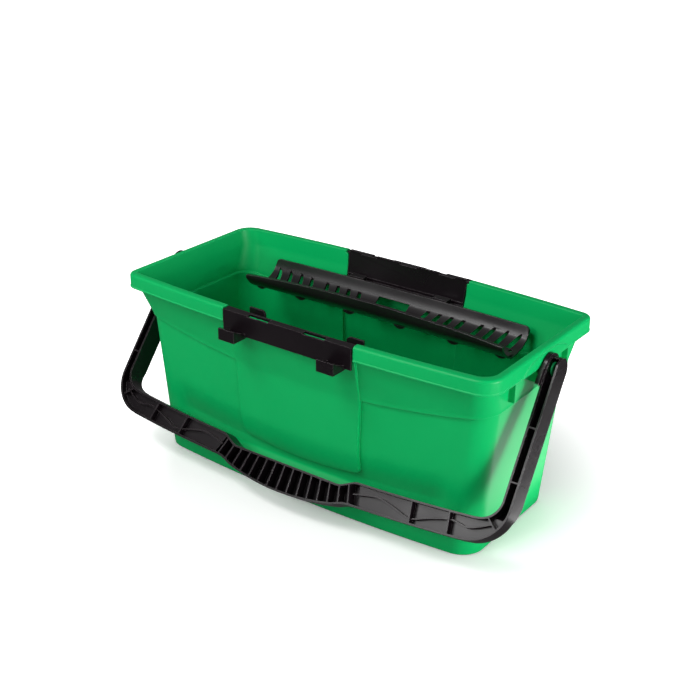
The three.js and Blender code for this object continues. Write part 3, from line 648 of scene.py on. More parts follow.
# %% Join the tub
SEAT_DEPTH = 4.3
SEAT_TOP = TUB_HEIGHT - SEAT_DEPTH


def seat_cut():
    half = PANEL_TOP_HALF - GAP
    inner = side_at(MOUTH, half) - 2 * WALL
    low, high = SKIRT_FOOT - OVERRUN, TUB_HEIGHT + OVERRUN
    seat = curved_bar(half, lambda x: -RIM.width,
                      lambda x: -(wall_face(x, SKIRT_FOOT) + PANEL_PROUD - GAP), low, high, 20)
    over = block((-half, -RIM.width, SEAT_TOP), (half, -inner, high))
    return combine(seat, [over], "UNION")


combine(tub, with_twin(raised, HALF_TURN) + with_twin(end, HALF_TURN), "UNION")
combine(tub, [inside] + with_twin(hollow, HALF_TURN) + with_twin(seat_cut(), HALF_TURN),
        "DIFFERENCE")
tub.name = "green_tub"
print("tub faces:", len(tub.data.polygons))

# %% [markdown]
# ## The handle
#
# The handle is a bail of channel section: thin flanges round an open pocket that faces forwards
# as it hangs. It is drawn hanging straight down from its pivot, as an outline from the front cut
# to a profile from the side. Then the pocket is cut out of it, less the ribs that stay.

# %% Lengths of the handle
HANG_ANGLE = math.radians(36.25)
ARM_DEPTH = 30.4
ARM_SPREAD = 7.2
ARM_SPREAD_LENGTH = 180
BAR_DROP = 190.5
BAR_WIDTH = 30.15
BAR_HALF = 280
BAR_BOW = 14.7
BAR_BACK = 7
HANDLE_CORNER = 50
HANDLE_INNER_CORNER = 26
WEB = 2.5
ARM_THIN_END = 166
BAR_THICK_START = 186
BAR_POCKET = 9.2
GRIP_TOP = 213.5
GRIP_FOOT = 249.9
GRIP_SAG = 9.5
GRIP_HALF = 80
GRIP_BLEND = 28
GRIP_POCKET = 15.2
GRIP_RIBS = 15
GRIP_PITCH = 12.95
GRIP_FAN = 272
GRIP_END = 101
RIB = 1.8
BAR_STEPS = 72


def arm_line(down):
    return ARM_OUTER + ARM_SPREAD * (down / ARM_SPREAD_LENGTH)


def grip_share(x):
    return 1 - ease(abs(x), GRIP_HALF, GRIP_HALF + GRIP_BLEND)


def bar_upper(x):
    bar = BAR_DROP + BAR_BOW * (1 - (x / BAR_HALF) ** 2)
    return mix(bar, GRIP_TOP, grip_share(x))


def bar_lower(x):
    bar = BAR_DROP + BAR_WIDTH + BAR_BOW * (1 - (x / BAR_HALF) ** 2)
    return mix(bar, GRIP_FOOT - GRIP_SAG * (x / GRIP_HALF) ** 2, grip_share(x))


# %% Draw the outline of the handle
def round_corner(before, corner, after, radius, steps=18):
    at = Vector(corner)
    back = (Vector(before) - at).normalized()
    on = (Vector(after) - at).normalized()
    half = back.angle(on) / 2
    centre = at + (back + on).normalized() * (radius / math.sin(half))
    first = at + back * (radius / math.tan(half)) - centre
    last = at + on * (radius / math.tan(half)) - centre
    turn = math.atan2(first.x * last.y - first.y * last.x, first.dot(last))
    return [tuple(centre + Matrix.Rotation(turn * i / steps, 2) @ first) for i in range(steps + 1)]


def handle_edge(arm_edge, bar_edge, radius, top):
    meet = arm_edge(BAR_DROP)
    bend = HANDLE_CORNER * 2
    points = [(arm_edge(-top), top)]
    points += round_corner(
        (arm_edge(BAR_DROP - bend), bend - BAR_DROP),
        (meet, -bar_edge(meet)),
        (meet - bend, -bar_edge(meet - bend)),
        radius)
    start = points[-1][0] - HANDLE_WALL
    places = [mix(start, 0, i / BAR_STEPS) for i in range(BAR_STEPS + 1)]
    return points + [(x, -bar_edge(x)) for x in places]


def handle_outline(margin, top):
    outer = handle_edge(lambda s: arm_line(s) - margin, lambda x: bar_lower(x) - margin,
                        HANDLE_CORNER - margin, top)
    inner = handle_edge(lambda s: arm_line(s) - ARM_WIDTH + margin,
                        lambda x: bar_upper(x) + margin,
                        HANDLE_INNER_CORNER + margin, top)
    outer += [(-x, z) for x, z in outer[-2::-1]]
    inner += [(-x, z) for x, z in inner[-2::-1]]
    return outer + inner[::-1]


def side_profile(radius, thin_end, thick_start, bar_face):
    foot = -(GRIP_FOOT + OVERRUN)
    return arch(radius) + [(radius, -thin_end), (bar_face, -thick_start), (bar_face, foot),
                           (-radius, foot)]


# %% [markdown]
# The pocket is drawn in from the outline by the thickness of the flanges. It is deep in the arms,
# shallow along the bar, and deeper again behind the grip, where a row of thin ribs stands. The
# ribs spread downwards like a fan, so each one is a band whose sides lean by their own amounts.

# %% Cut the pocket and keep its ribs
HALF_DEPTH = ARM_DEPTH / 2
BAR_FLOOR = BAR_POCKET - HALF_DEPTH
REACH = RIM.length
ARM_RIBS = (74, 140)
BAR_RIBS = (-225, -170, 183, 234.5)
BAR_RIB_LEAN = 0.2
CORNER_RIBS = (21.6 - ARM_OUTER, ARM_OUTER - 12.1)
CORNER_RIB_DROP = 192.5
CORNER_RIB_ANGLE = math.radians(40)


def band_across(left, left_lean, right, right_lean, front, back):
    """A band across the bar whose sides pass through left and right at the top of the bar."""
    foot = GRIP_FOOT + OVERRUN
    down = foot - BAR_DROP
    outline = [(left, -BAR_DROP), (right, -BAR_DROP), (right + right_lean * down, -foot),
               (left + left_lean * down, -foot)]
    return slab_across_y(outline, front, back)


def handle_pocket():
    web_face = HALF_DEPTH - WEB
    opening = [(y - 2 * OVERRUN - WEB if y < BAR_FLOOR else y, z)
               for y, z in side_profile(web_face, ARM_THIN_END, BAR_THICK_START, BAR_FLOOR)]
    foot = -(GRIP_FOOT + OVERRUN)
    lean = GRIP_END / GRIP_FAN
    near, far = GRIP_END + GRIP_BLEND, BAR_HALF - HANDLE_CORNER / 2
    zones = [
        bar_along_x(opening, -REACH, REACH),
        band_across(-GRIP_END, -lean, GRIP_END, lean, -ARM_DEPTH, GRIP_POCKET - HALF_DEPTH),
        block((near, BAR_FLOOR + WEB, foot), (far, ARM_DEPTH, -BAR_DROP)),
        block((-far, BAR_FLOOR + WEB, foot), (-near, ARM_DEPTH, -BAR_DROP)),
    ]
    zone = combine(zones[0], zones[1:2], "UNION")
    outline = handle_outline(HANDLE_WALL, HALF_DEPTH + OVERRUN)
    pocket = slab_across_y(outline, -ARM_DEPTH, ARM_DEPTH)
    back = combine(slab_across_y(outline, -ARM_DEPTH, ARM_DEPTH),
                   [combine(zones[2], zones[3:], "UNION")], "INTERSECT")
    return combine(combine(pocket, [zone], "INTERSECT"), [back], "UNION")


def rib_at(x, lean):
    return band_across(x - RIB / 2, lean, x + RIB / 2, lean, -ARM_DEPTH, ARM_DEPTH)


def corner_rib(place):
    rib = block((-HALF_DEPTH, -ARM_DEPTH, -RIB / 2), (HALF_DEPTH, ARM_DEPTH, RIB / 2))
    slope = Matrix.Rotation(math.copysign(CORNER_RIB_ANGLE, place), 4, "Y")
    rib.data.transform(Matrix.Translation(Vector((place, 0, -CORNER_RIB_DROP)) * MM) @ slope)
    return rib


def handle_ribs():
    grip = [(i - (GRIP_RIBS - 1) / 2) * GRIP_PITCH for i in range(GRIP_RIBS)]
    ribs = [rib_at(place, place / GRIP_FAN) for place in grip]
    ribs += [rib_at(place, math.copysign(BAR_RIB_LEAN, place)) for place in BAR_RIBS]
    ribs += [corner_rib(place) for place in CORNER_RIBS]
    return ribs + [block((-REACH, -HALF_DEPTH, -place - RIB), (REACH, HALF_DEPTH, -place))
                   for place in ARM_RIBS]


# %% [markdown]
# A low wavy rib runs along the web on each side of the grip, as on the real moulding. Inside the
# top of each arm a rounded plate turns on the stud of the tub.

# %% The wavy ribs and the eyes
WAVE_SHARES = [(0, 0), (0.18, 0.16), (0.32, -0.03), (0.45, -0.25), (0.59, -0.02), (0.73, 0.15),
               (0.86, 0.03), (1, 0.34)]
WAVE_START = 105
WAVE_END = BAR_HALF + 9
WAVE_HEIGHT = 6
WAVE_STEPS = 12
EYE_RADIUS = 18.5
EYE_FOOT = 26
EYE_BACK = 22
EYE_HOLE = 7.3


def waves():
    places = []
    for along, above in WAVE_SHARES:
        x = mix(WAVE_START, WAVE_END, along)
        places.append((x, above * BAR_WIDTH - (bar_upper(x) + bar_lower(x)) / 2))
    line = smooth(places, WAVE_STEPS)
    outline = [(x, z - RIB / 2) for x, z in line] + [(x, z + RIB / 2) for x, z in line[::-1]]
    wave = slab_across_y(outline, BAR_FLOOR - WAVE_HEIGHT, BAR_FLOOR + WEB / 2)
    return with_twin(wave, MIRROR_X)


def eye_plates():
    outline = arch(EYE_RADIUS) + [(HALF_DEPTH, -EYE_RADIUS), (HALF_DEPTH, -EYE_FOOT),
                                  (-EYE_BACK, -EYE_FOOT), (-EYE_BACK, -EYE_RADIUS / 2)]
    face = ARM_OUTER - ARM_WIDTH
    return with_twin(bar_along_x(outline, face - EYE_THICKNESS, face + HANDLE_WALL / 2), MIRROR_X)


def eye_holes():
    face = ARM_OUTER - ARM_WIDTH
    profile = [(face - EYE_THICKNESS - OVERRUN, EYE_HOLE), (face + HANDLE_WALL + OVERRUN, EYE_HOLE)]
    return with_twin(turned(profile, (0, 0, 0), "x"), MIRROR_X)


# %% Put the handle together and hang it
handle = slab_across_y(handle_outline(0, HALF_DEPTH + OVERRUN), -HALF_DEPTH, HALF_DEPTH)
profile = side_profile(HALF_DEPTH, ARM_THIN_END, BAR_THICK_START, BAR_BACK)
combine(handle, [bar_along_x(profile, -REACH, REACH)], "INTERSECT")
combine(handle, [combine(handle_pocket(), handle_ribs(), "DIFFERENCE")], "DIFFERENCE")
combine(handle, waves() + eye_plates(), "UNION")
combine(handle, eye_holes(), "DIFFERENCE")
hang = Matrix.Rotation(-HANG_ANGLE, 4, "X")
handle.data.transform(Matrix.Translation((0, 0, PIVOT_HEIGHT * MM)) @ hang)
handle.name = "black_handle"
print("handle faces:", len(handle.data.polygons))

# %% [markdown]
# ## The tool holders
#
# Each holder is a clip over the rim: a plate outside, a band across the top with two slots in it,
# and two deep hooks for tool handles. The front one has a leg and two more hooks inside.

# %% The outer clip that both holders share
HOLDER_HALF = 98
BAND_FOOT = SEAT_TOP + GAP
BAND_WALL = 2.2
BAND_TOP = BAND_FOOT + BAND_WALL
PLATE_WALL = 2.5
PLATE_DROP = 29
PLATE_BACK = PANEL_PROUD + NECK.width / 2 + RIM.bow + GAP
PLATE_FRONT = PLATE_BACK + PLATE_WALL
PLATE_FOOT = BAND_TOP - PLATE_DROP
HOOK_NEAR, HOOK_FAR = 63, 88
HOOK_WALL = 2.8
HOOK_DROP = 2.4
HOOK_REACH = 21
HOOK_LIP = 15.4
CHEEK_WALL = 2.2
CHEEK_RISE = 4
BAND_SLOT_NEAR, BAND_SLOT_FAR = 26, 59
BAND_SLOT_WIDTH = 6.5
BAND_SLOT_NOTCH = 1.4


def spans(near, far):
    return [(near, far), (-far, -near)]


def outer_clip(band_inner):
    clip = curved_bar(HOLDER_HALF, lambda x: -PLATE_FRONT, lambda x: -band_inner(x),
                      BAND_FOOT, BAND_TOP)
    floor = PLATE_FOOT - HOOK_DROP
    lip = PLATE_FRONT + HOOK_REACH
    lip_top = floor + HOOK_LIP
    hook = [(-PLATE_BACK, floor), (-lip, floor), (-lip, lip_top), (-lip + HOOK_WALL, lip_top)]
    hook += [(-lip + HOOK_WALL, floor + HOOK_WALL), (-PLATE_BACK, floor + HOOK_WALL)]
    cheek = [(-PLATE_BACK, floor), (-lip, floor), (-lip, lip_top)]
    cheek += [(-PLATE_FRONT, PLATE_FOOT + CHEEK_RISE), (-PLATE_BACK, PLATE_FOOT + CHEEK_RISE)]
    shapes = [block((-HOLDER_HALF, -PLATE_FRONT, PLATE_FOOT), (HOLDER_HALF, -PLATE_BACK, BAND_TOP))]
    for low, high in spans(HOOK_NEAR, HOOK_FAR):
        shapes.append(bar_along_x(hook, low, high))
        shapes.append(bar_along_x(cheek, low, low + CHEEK_WALL))
        shapes.append(bar_along_x(cheek, high - CHEEK_WALL, high))
    combine(clip, shapes, "UNION")
    slots = []
    for low, high in spans(BAND_SLOT_NEAR, BAND_SLOT_FAR):
        slots.append(block((low, -PLATE_BACK - SINK, BAND_FOOT - OVERRUN),
                           (high, -PLATE_BACK + BAND_SLOT_WIDTH, BAND_TOP + OVERRUN)))
        slots.append(block((low, -PLATE_FRONT - OVERRUN, BAND_TOP - BAND_SLOT_NOTCH),
                           (high, -PLATE_BACK, BAND_TOP + OVERRUN)))
    return combine(clip, slots, "DIFFERENCE")


# %% The front holder
LEG = 2.5
LEG_HALF = 95.5
LEG_FOOT = SEAT_TOP - 13
INNER_HOOK_DROP = 22.4
INNER_HOOK_LIP = 14.5
INNER_HOOK_REACH = 31.5
INNER_HOOK_CORNER = 6


def mouth_edge(x):
    return side_at(MOUTH, x)


def inner_hook(low, high, outer_is_high):
    floor = BAND_TOP - INNER_HOOK_DROP
    lip_top = floor + INNER_HOOK_LIP
    root = mouth_edge(HOOK_FAR) + LEG / 2
    lip = root - INNER_HOOK_REACH
    curve = rounding(INNER_HOOK_CORNER, steps=6)
    if outer_is_high:
        top = [(high, lip_top)] + [(low + by, lip_top - drop) for by, drop in curve[::-1]]
    else:
        top = [(high - by, lip_top - drop) for by, drop in curve] + [(low, lip_top)]
    outline = [(low, floor), (high, floor)] + top
    return [
        slab_across_y(outline, -lip - HOOK_WALL, -lip),
        block((low, -root, floor), (high, -lip, floor + HOOK_WALL)),
        block((low, -root, floor), (high, -root + LEG, LEG_FOOT + HOOK_WALL)),
    ]


front_holder = outer_clip(mouth_edge)
inner_parts = [curved_bar(LEG_HALF, lambda x: -mouth_edge(x) - LEG, lambda x: -mouth_edge(x),
                          LEG_FOOT, BAND_TOP)]
inner_parts += inner_hook(HOOK_NEAR, HOOK_FAR, True)
inner_parts += inner_hook(-HOOK_FAR, -HOOK_NEAR, False)
combine(front_holder, inner_parts, "UNION")
front_holder.name = "black_front_holder"
print("front holder faces:", len(front_holder.data.polygons))

# %% [markdown]
# The rear holder has a flat panel inside the tub in place of the leg, with four low tabs along
# its top and a channel at its foot, where the sieve hooks in.

# %% The rear holder
REAR_WALL = 2.5
REAR_LEAN = 5
REAR_TOP = PLATE_BACK - PANEL_PROUD - WALL - GAP
REAR_FOOT = REAR_TOP - REAR_LEAN
REAR_TOP_HALF, REAR_FOOT_HALF = 95, 94
REAR_PANEL_DROP = 30
REAR_PANEL_FOOT = BAND_TOP - REAR_PANEL_DROP
CHANNEL_REACH = 10.5
CHANNEL_DEPTH = 5.5
CHANNEL_LIP = REAR_FOOT - CHANNEL_REACH
CHANNEL_WALL = 2.2
CHANNEL_FLOOR = REAR_PANEL_FOOT - CHANNEL_DEPTH + CHANNEL_WALL
TABS = [(-94, -76), (-49, -11), (16, 52), (77, 94)]
TAB_WALL = 3
TAB_RISE = 2.6


def rear_panel():
    rings = []
    for side in (-1, 1):
        foot_x, top_x = side * REAR_FOOT_HALF, side * REAR_TOP_HALF
        rings.append([
            (foot_x, REAR_FOOT, REAR_PANEL_FOOT),
            (top_x, REAR_TOP, BAND_TOP),
            (top_x, REAR_TOP + REAR_WALL, BAND_TOP),
            (foot_x, REAR_FOOT + REAR_WALL, REAR_PANEL_FOOT),
        ])
    return loft("rear_panel", rings)


channel = [
    (REAR_FOOT + REAR_WALL, REAR_PANEL_FOOT + OVERRUN),
    (REAR_FOOT, REAR_PANEL_FOOT + OVERRUN),
    (REAR_FOOT, CHANNEL_FLOOR),
    (CHANNEL_LIP + CHANNEL_WALL, CHANNEL_FLOOR),
    (CHANNEL_LIP + CHANNEL_WALL, REAR_PANEL_FOOT),
    (CHANNEL_LIP, REAR_PANEL_FOOT),
    (CHANNEL_LIP, CHANNEL_FLOOR - CHANNEL_WALL),
    (REAR_FOOT + REAR_WALL, CHANNEL_FLOOR - CHANNEL_WALL),
]
rear_holder = outer_clip(lambda x: REAR_TOP)
rear_holder.data.transform(HALF_TURN)
rear_parts = [rear_panel(), bar_along_x(channel, -REAR_FOOT_HALF, REAR_FOOT_HALF)]
for low, high in TABS:
    rear_parts.append(block((low, REAR_TOP, BAND_TOP - OVERRUN),
                            (high, REAR_TOP + TAB_WALL, BAND_TOP + TAB_RISE)))
combine(rear_holder, rear_parts, "UNION")
rear_holder.name = "black_rear_holder"
print("rear holder faces:", len(rear_holder.data.polygons))

# %% [markdown]
# ## The sieve
#
# The sieve is a shallow gutter that a wet sleeve is pressed on. Its section is a smooth curve
# through a few points, so a spline gives the roundness that straight steps would lack.

# %% The section of the gutter
SIEVE_HALF = 204.6
SIEVE_WALL = 2.4
SIEVE_CORNER = 7
SIEVE_REAR = 107
SIEVE_REAR_TOP = 226
SIEVE_DEPTH = 28
SIEVE_WIDTH = 71
SIEVE_FRONT = SIEVE_REAR - SIEVE_WIDTH
SIEVE_FOOT = SIEVE_REAR_TOP - SIEVE_DEPTH
GUTTER_SHARES = [(0.95, 0.61), (0.89, 0.39), (0.72, 0.14), (0.48, 0.02), (0.34, 0.01),
                 (0.14, 0.28), (0.01, 0.66)]
SIEVE_LIP_TOP = 222
SIEVE_LIP_BOW = 7.5
SIEVE_END_SHIFT = 4
SIEVE_STEPS = 20
SIEVE_CORNER_STEPS = 10


def gutter(drop, front_top, by):
    rear, front, foot = SIEVE_REAR - by, SIEVE_FRONT + by, SIEVE_FOOT + by
    points = [(rear, SIEVE_REAR_TOP - drop)]
    points += [(mix(front, rear, y), mix(foot, SIEVE_REAR_TOP, z)) for y, z in GUTTER_SHARES]
    return points + [(front + by, front_top)]


# %% The body of the gutter
def sieve_body():
    straight = SIEVE_HALF - SIEVE_CORNER
    places = [straight * i / SIEVE_STEPS for i in range(SIEVE_STEPS + 1)]
    places += [straight + SIEVE_CORNER * math.sin(math.pi / 2 * i / SIEVE_CORNER_STEPS)
               for i in range(1, SIEVE_CORNER_STEPS + 1)]
    rings = []
    for x in [-x for x in places[:0:-1]] + places:
        middle = 1 - (x / SIEVE_HALF) ** 2
        drop = fall(SIEVE_CORNER - max(0, abs(x) - straight), SIEVE_CORNER)
        front_top = SIEVE_LIP_TOP + SIEVE_LIP_BOW * middle
        section = smooth(gutter(drop, front_top, 0))
        section += smooth(gutter(drop, front_top, SIEVE_WALL))[::-1]
        rings.append([(x, y - SIEVE_END_SHIFT * (1 - middle), z) for y, z in section])
    return loft("sieve", rings)


# %% [markdown]
# Six low round feet stand under the gutter. Sixteen slots let the water through. They stand in
# groups of four, lean outwards and narrow as they climb, as in the photo. Six small holes and a
# wide hole for the fingers go through it as well, and two hooks hang in the rear holder's channel.

# %% The feet, the slots, the holes and the hooks
FEET = (41, 123, 193)
FOOT_RADIUS = 12
FOOT_BACK = 14
FOOT_LENGTH = 14
FOOT_RISE = 4.8
SLOTS = (48, 66, 84, 102, 129, 147, 166, 185)
SLOT_LEAN = 11
SLOT_WIDTH = 7.6
SLOT_BACK = 40
SLOT_END = 9
SLOT_TOP = SIEVE_REAR_TOP - 11
SLOT_STRAIGHT = 0.3
SLOT_STEPS = 12
HOLES = (46, 131, 194.6)
HOLE_RADIUS = 2.6
HOLE_BACK = 35.5
HOLE_REACH = 14
HAND_HALF = 25
HAND_BACK = 49.5
HAND_FOOT = SIEVE_REAR_TOP - 22.5
HAND_TOP = SIEVE_REAR_TOP - 14
HOOKS = (68,)
HOOK_HALF = 11
HOOK_STRIP = 2.4
HOOK_TIP = 4


def sieve_feet():
    feet = []
    start, centre = SIEVE_FRONT + FOOT_BACK, SIEVE_FOOT + FOOT_RADIUS
    for x in both_sides(FEET):
        disc = turned([(start, FOOT_RADIUS), (start + FOOT_LENGTH, FOOT_RADIUS)],
                      (x, 0, centre), "y")
        keep = block((x - FOOT_RADIUS, start - OVERRUN, SIEVE_FOOT - OVERRUN),
                     (x + FOOT_RADIUS, start + 2 * FOOT_LENGTH, SIEVE_FOOT + FOOT_RISE))
        feet.append(combine(disc, [keep], "INTERSECT"))
    return feet


def leaf_slot(place):
    """A slot whose upper end closes in a quarter of an ellipse."""
    near, far = SIEVE_FRONT + SLOT_BACK, SIEVE_REAR - SLOT_END
    rings = []
    for i in range(SLOT_STEPS + 1):
        up = i / SLOT_STEPS
        x = place + math.copysign(SLOT_LEAN * up, place)
        z = mix(SIEVE_FOOT - OVERRUN, SLOT_TOP, up)
        closing = max(0, up - SLOT_STRAIGHT) ** 2 / (1 - SLOT_STRAIGHT) ** 2
        half = SLOT_WIDTH / 2 * math.sqrt(max(2 * SHARP, 1 - closing))
        rings.append([(x - half, near, z), (x + half, near, z),
                      (x + half, far, z), (x - half, far, z)])
    return loft("slot", rings)


def sieve_cuts():
    hole = [(-HOLE_REACH, HOLE_RADIUS), (HOLE_REACH, HOLE_RADIUS)]
    cuts = [leaf_slot(x) for x in both_sides(SLOTS)]
    cuts += [turned(hole, (x, SIEVE_FRONT + HOLE_BACK, SIEVE_FOOT), "z", steps=20)
             for x in both_sides(HOLES)]
    return cuts + [block((-HAND_HALF, SIEVE_FRONT + HAND_BACK, HAND_FOOT),
                         (HAND_HALF, SIEVE_REAR + OVERRUN, HAND_TOP))]


def sieve_hooks():
    under = max(REAR_PANEL_FOOT, SIEVE_REAR_TOP) + GAP
    tip = CHANNEL_LIP + CHANNEL_WALL + GAP
    rear, root = SIEVE_REAR, SIEVE_REAR - SIEVE_WALL
    top = SIEVE_REAR_TOP - SIEVE_WALL
    profile = [(root, top), (rear, top), (rear, under), (tip, under), (tip, under - HOOK_TIP)]
    profile += [(tip + HOOK_STRIP, under - HOOK_TIP), (tip + HOOK_STRIP, under + HOOK_STRIP),
                (root, under + HOOK_STRIP)]
    return [bar_along_x(profile, x - HOOK_HALF, x + HOOK_HALF) for x in both_sides(HOOKS)]


sieve = sieve_body()
combine(sieve, sieve_feet(), "UNION")
combine(sieve, sieve_cuts(), "DIFFERENCE")
combine(sieve, sieve_hooks(), "UNION")
sieve.name = "black_sieve"
print("sieve faces:", len(sieve.data.polygons))

# %% [markdown]
# ## Smooth and sharp edges
#
# A loft in small steps should look like one smooth surface, while the edges of ribs and slots
# stay sharp. Marking edges by angle does both.

# %% Shade the pieces
SHARP_ANGLE = math.radians(28)
PIECES = {
    "tub": (tub, "tub", "tub_plastic"),
    "handle": (handle, "handle", "handle_plastic"),
    "front_tool_holder": (front_holder, "front_holder", "holder_plastic"),
    "rear_tool_holder": (rear_holder, "rear_holder", "holder_plastic"),
    "sieve": (sieve, "sieve", "sieve_plastic"),
}
for piece, _, _ in PIECES.values():
    piece.data.shade_smooth()
    piece.data.set_sharp_from_angle(angle=SHARP_ANGLE)
print("shaded:", ", ".join(piece.name for piece, _, _ in PIECES.values()))

# %% [markdown]
# ## The plastic
#
# Moulded plastic isn't perfectly even. It has a fine grain from the mould, slow changes of gloss
# and colour, and edges that are slightly rounded and scuffed. Its edges are lightened too, as a
# painted highlight that is stronger in scuffed patches. One node group makes all of these for every
# plastic, and gives out only a normal, a roughness and two masks. Each noise has a scale and a
# detail. The Bevel node bends the normal near an edge, and how far it bends is the mask of the
# painted edge highlight and wear.

# %% Small steps for wiring nodes
def link(tree, source, target):
    tree.links.new(source, target)


def noise(tree, coordinates, scale, detail):
    node = tree.nodes.new("ShaderNodeTexNoise")
    node.inputs["Scale"].default_value = scale
    node.inputs["Detail"].default_value = detail
    link(tree, coordinates, node.inputs["Vector"])
    return node.outputs["Fac"]


def spread(tree, value, low, high, new_low, new_high):
    node = tree.nodes.new("ShaderNodeMapRange")
    for name, number in (("From Min", low), ("From Max", high),
                         ("To Min", new_low), ("To Max", new_high)):
        node.inputs[name].default_value = number
    link(tree, value, node.inputs["Value"])
    return node.outputs["Result"]


def calculate(tree, kind, operation, *values):
    node = tree.nodes.new(kind)
    node.operation = operation
    for value, socket in zip(values, node.inputs):
        link(tree, value, socket)
    return node.outputs["Value"]


def blend(tree, share, first, second):
    """Mixes two colours. Each is three numbers or comes from another node."""
    node = tree.nodes.new("ShaderNodeMix")
    node.data_type = "RGBA"
    link(tree, share, node.inputs["Factor"])
    for name, colour in (("A", first), ("B", second)):
        if isinstance(colour, tuple):
            node.inputs[name].default_value = (*colour, 1)
        else:
            link(tree, colour, node.inputs[name])
    return node.outputs["Result"]


# %% Build the group
SLOW, FINE, PATCHY = (9, 3), (900, 2), (60, 4)
SLOW_LOW, SLOW_HIGH = 0.3, 0.7
PATCHY_LOW, PATCHY_HIGH = 0.4, 0.65
# The least share of the painted edge highlight, where no scuffed patch adds to it.
LEAST_SHEEN_AND_WEAR = 0.5
EDGE_START, EDGE_FULL = 0.98, 0.8
EDGE_SAMPLES = 4
GRAIN_HEIGHT = 0.0002


def moulded_surface():
    group = bpy.data.node_groups.new("moulded_surface", "ShaderNodeTree")
    socket = group.interface.new_socket
    for name, value in (("Roughness", 0.4), ("Roughness Spread", 0.08),
                        ("Grain", 0.1), ("Edge Radius", 0.0006)):
        socket(name, in_out="INPUT", socket_type="NodeSocketFloat").default_value = value
    socket("Normal", in_out="OUTPUT", socket_type="NodeSocketVector")
    for name in ("Roughness", "Shade", "Edge Sheen And Wear"):
        socket(name, in_out="OUTPUT", socket_type="NodeSocketFloat")
    start = group.nodes.new("NodeGroupInput")
    result = group.nodes.new("NodeGroupOutput")
    place = group.nodes.new("ShaderNodeTexCoord").outputs["Object"]

    slow = noise(group, place, *SLOW)
    fine = noise(group, place, *FINE)
    gloss = calculate(group, "ShaderNodeMath", "MULTIPLY_ADD",
                      spread(group, slow, SLOW_LOW, SLOW_HIGH, -1, 1),
                      start.outputs["Roughness Spread"], start.outputs["Roughness"])

    edge = group.nodes.new("ShaderNodeBevel")
    edge.samples = EDGE_SAMPLES
    link(group, start.outputs["Edge Radius"], edge.inputs["Radius"])
    geometry = group.nodes.new("ShaderNodeNewGeometry")
    bend = calculate(group, "ShaderNodeVectorMath", "DOT_PRODUCT",
                     edge.outputs["Normal"], geometry.outputs["Normal"])
    # Painted highlight on edges: near every edge the colour is lightened at least half way, and
    # more in scuffed patches.
    near_edge = spread(group, bend, EDGE_START, EDGE_FULL, 0, 1)
    patchy = spread(group, noise(group, place, *PATCHY), PATCHY_LOW, PATCHY_HIGH, LEAST_SHEEN_AND_WEAR, 1)
    sheen_and_wear = calculate(group, "ShaderNodeMath", "MULTIPLY", near_edge, patchy)

    bump = group.nodes.new("ShaderNodeBump")
    bump.inputs["Distance"].default_value = GRAIN_HEIGHT
    link(group, start.outputs["Grain"], bump.inputs["Strength"])
    link(group, fine, bump.inputs["Height"])
    link(group, edge.outputs["Normal"], bump.inputs["Normal"])
    for name, value in (("Normal", bump.outputs["Normal"]), ("Roughness", gloss),
                        ("Shade", slow), ("Edge Sheen And Wear", sheen_and_wear)):
        link(group, value, result.inputs[name])
    return group


SURFACE = moulded_surface()
print("sockets:", [item.name for item in SURFACE.interface.items_tree])


# %% [markdown]
# Each plastic mixes its own two shades with the group's slow mask, and lightens its edges with a
# painted highlight mixed with scuffing.

# %% Make the plastics
# Light grey painted on the edges of the black plastics: a painted highlight, with some scuffing.
BLACK_EDGE_SHEEN_AND_WEAR = (0.15, 0.125, 0.135)


def plastic(name, dark, light, sheen_and_wear, shine, roughness, gloss_spread, grain, edge):
    material = bpy.data.materials.new(name)
    material.use_nodes = True
    tree = material.node_tree
    shader = tree.nodes["Principled BSDF"]
    surface = tree.nodes.new("ShaderNodeGroup")
    surface.node_tree = SURFACE
    for socket, value in (("Roughness", roughness), ("Roughness Spread", gloss_spread),
                          ("Grain", grain), ("Edge Radius", edge)):
        surface.inputs[socket].default_value = value
    body = blend(tree, surface.outputs["Shade"], dark, light)
    # Edges are lightened towards the third colour: a painted highlight, partly scuffing.
    body_with_sheen_and_wear = blend(tree, surface.outputs["Edge Sheen And Wear"], body, sheen_and_wear)
    link(tree, body_with_sheen_and_wear, shader.inputs["Base Color"])
    shader.inputs["Specular IOR Level"].default_value = shine
    link(tree, surface.outputs["Roughness"], shader.inputs["Roughness"])
    link(tree, surface.outputs["Normal"], shader.inputs["Normal"])
    return material


# The third colour of each plastic is painted on its edges as a highlight, with some scuffing.
GREEN = plastic(
    "green_plastic", dark=(0.0, 0.36, 0.092), light=(0.0, 0.4, 0.104), sheen_and_wear=(0.08, 0.66, 0.27),
    shine=0.2, roughness=0.42, gloss_spread=0.05, grain=0.05, edge=0.001)
BLACK = plastic(
    "black_plastic", dark=(0.004, 0.0025, 0.0035), light=(0.008, 0.005, 0.007),
    sheen_and_wear=BLACK_EDGE_SHEEN_AND_WEAR, shine=0.4, roughness=0.3, gloss_spread=0.07, grain=0.12, edge=0.0007)
MATT_BLACK = plastic(
    "matt_black_plastic", dark=(0.004, 0.003, 0.004), light=(0.008, 0.006, 0.007),
    sheen_and_wear=BLACK_EDGE_SHEEN_AND_WEAR, shine=0.8, roughness=0.34, gloss_spread=0.07, grain=0.12, edge=0.0007)
FINISHES = {"tub_plastic": GREEN, "handle_plastic": BLACK, "holder_plastic": BLACK,
            "sieve_plastic": MATT_BLACK}
print("materials:", [m.name for m in (GREEN, BLACK, MATT_BLACK)])

# %% Let each piece stand for its node and ride on its body
for node, (piece, body, slot) in PIECES.items():
    piece.data.materials.clear()
    piece.data.materials.append(FINISHES[slot])
    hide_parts(node)
    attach(piece, body)
    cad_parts[node].data.materials.clear()
    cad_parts[node].data.materials.append(FINISHES[slot])
print("pieces:", sorted(PIECES))

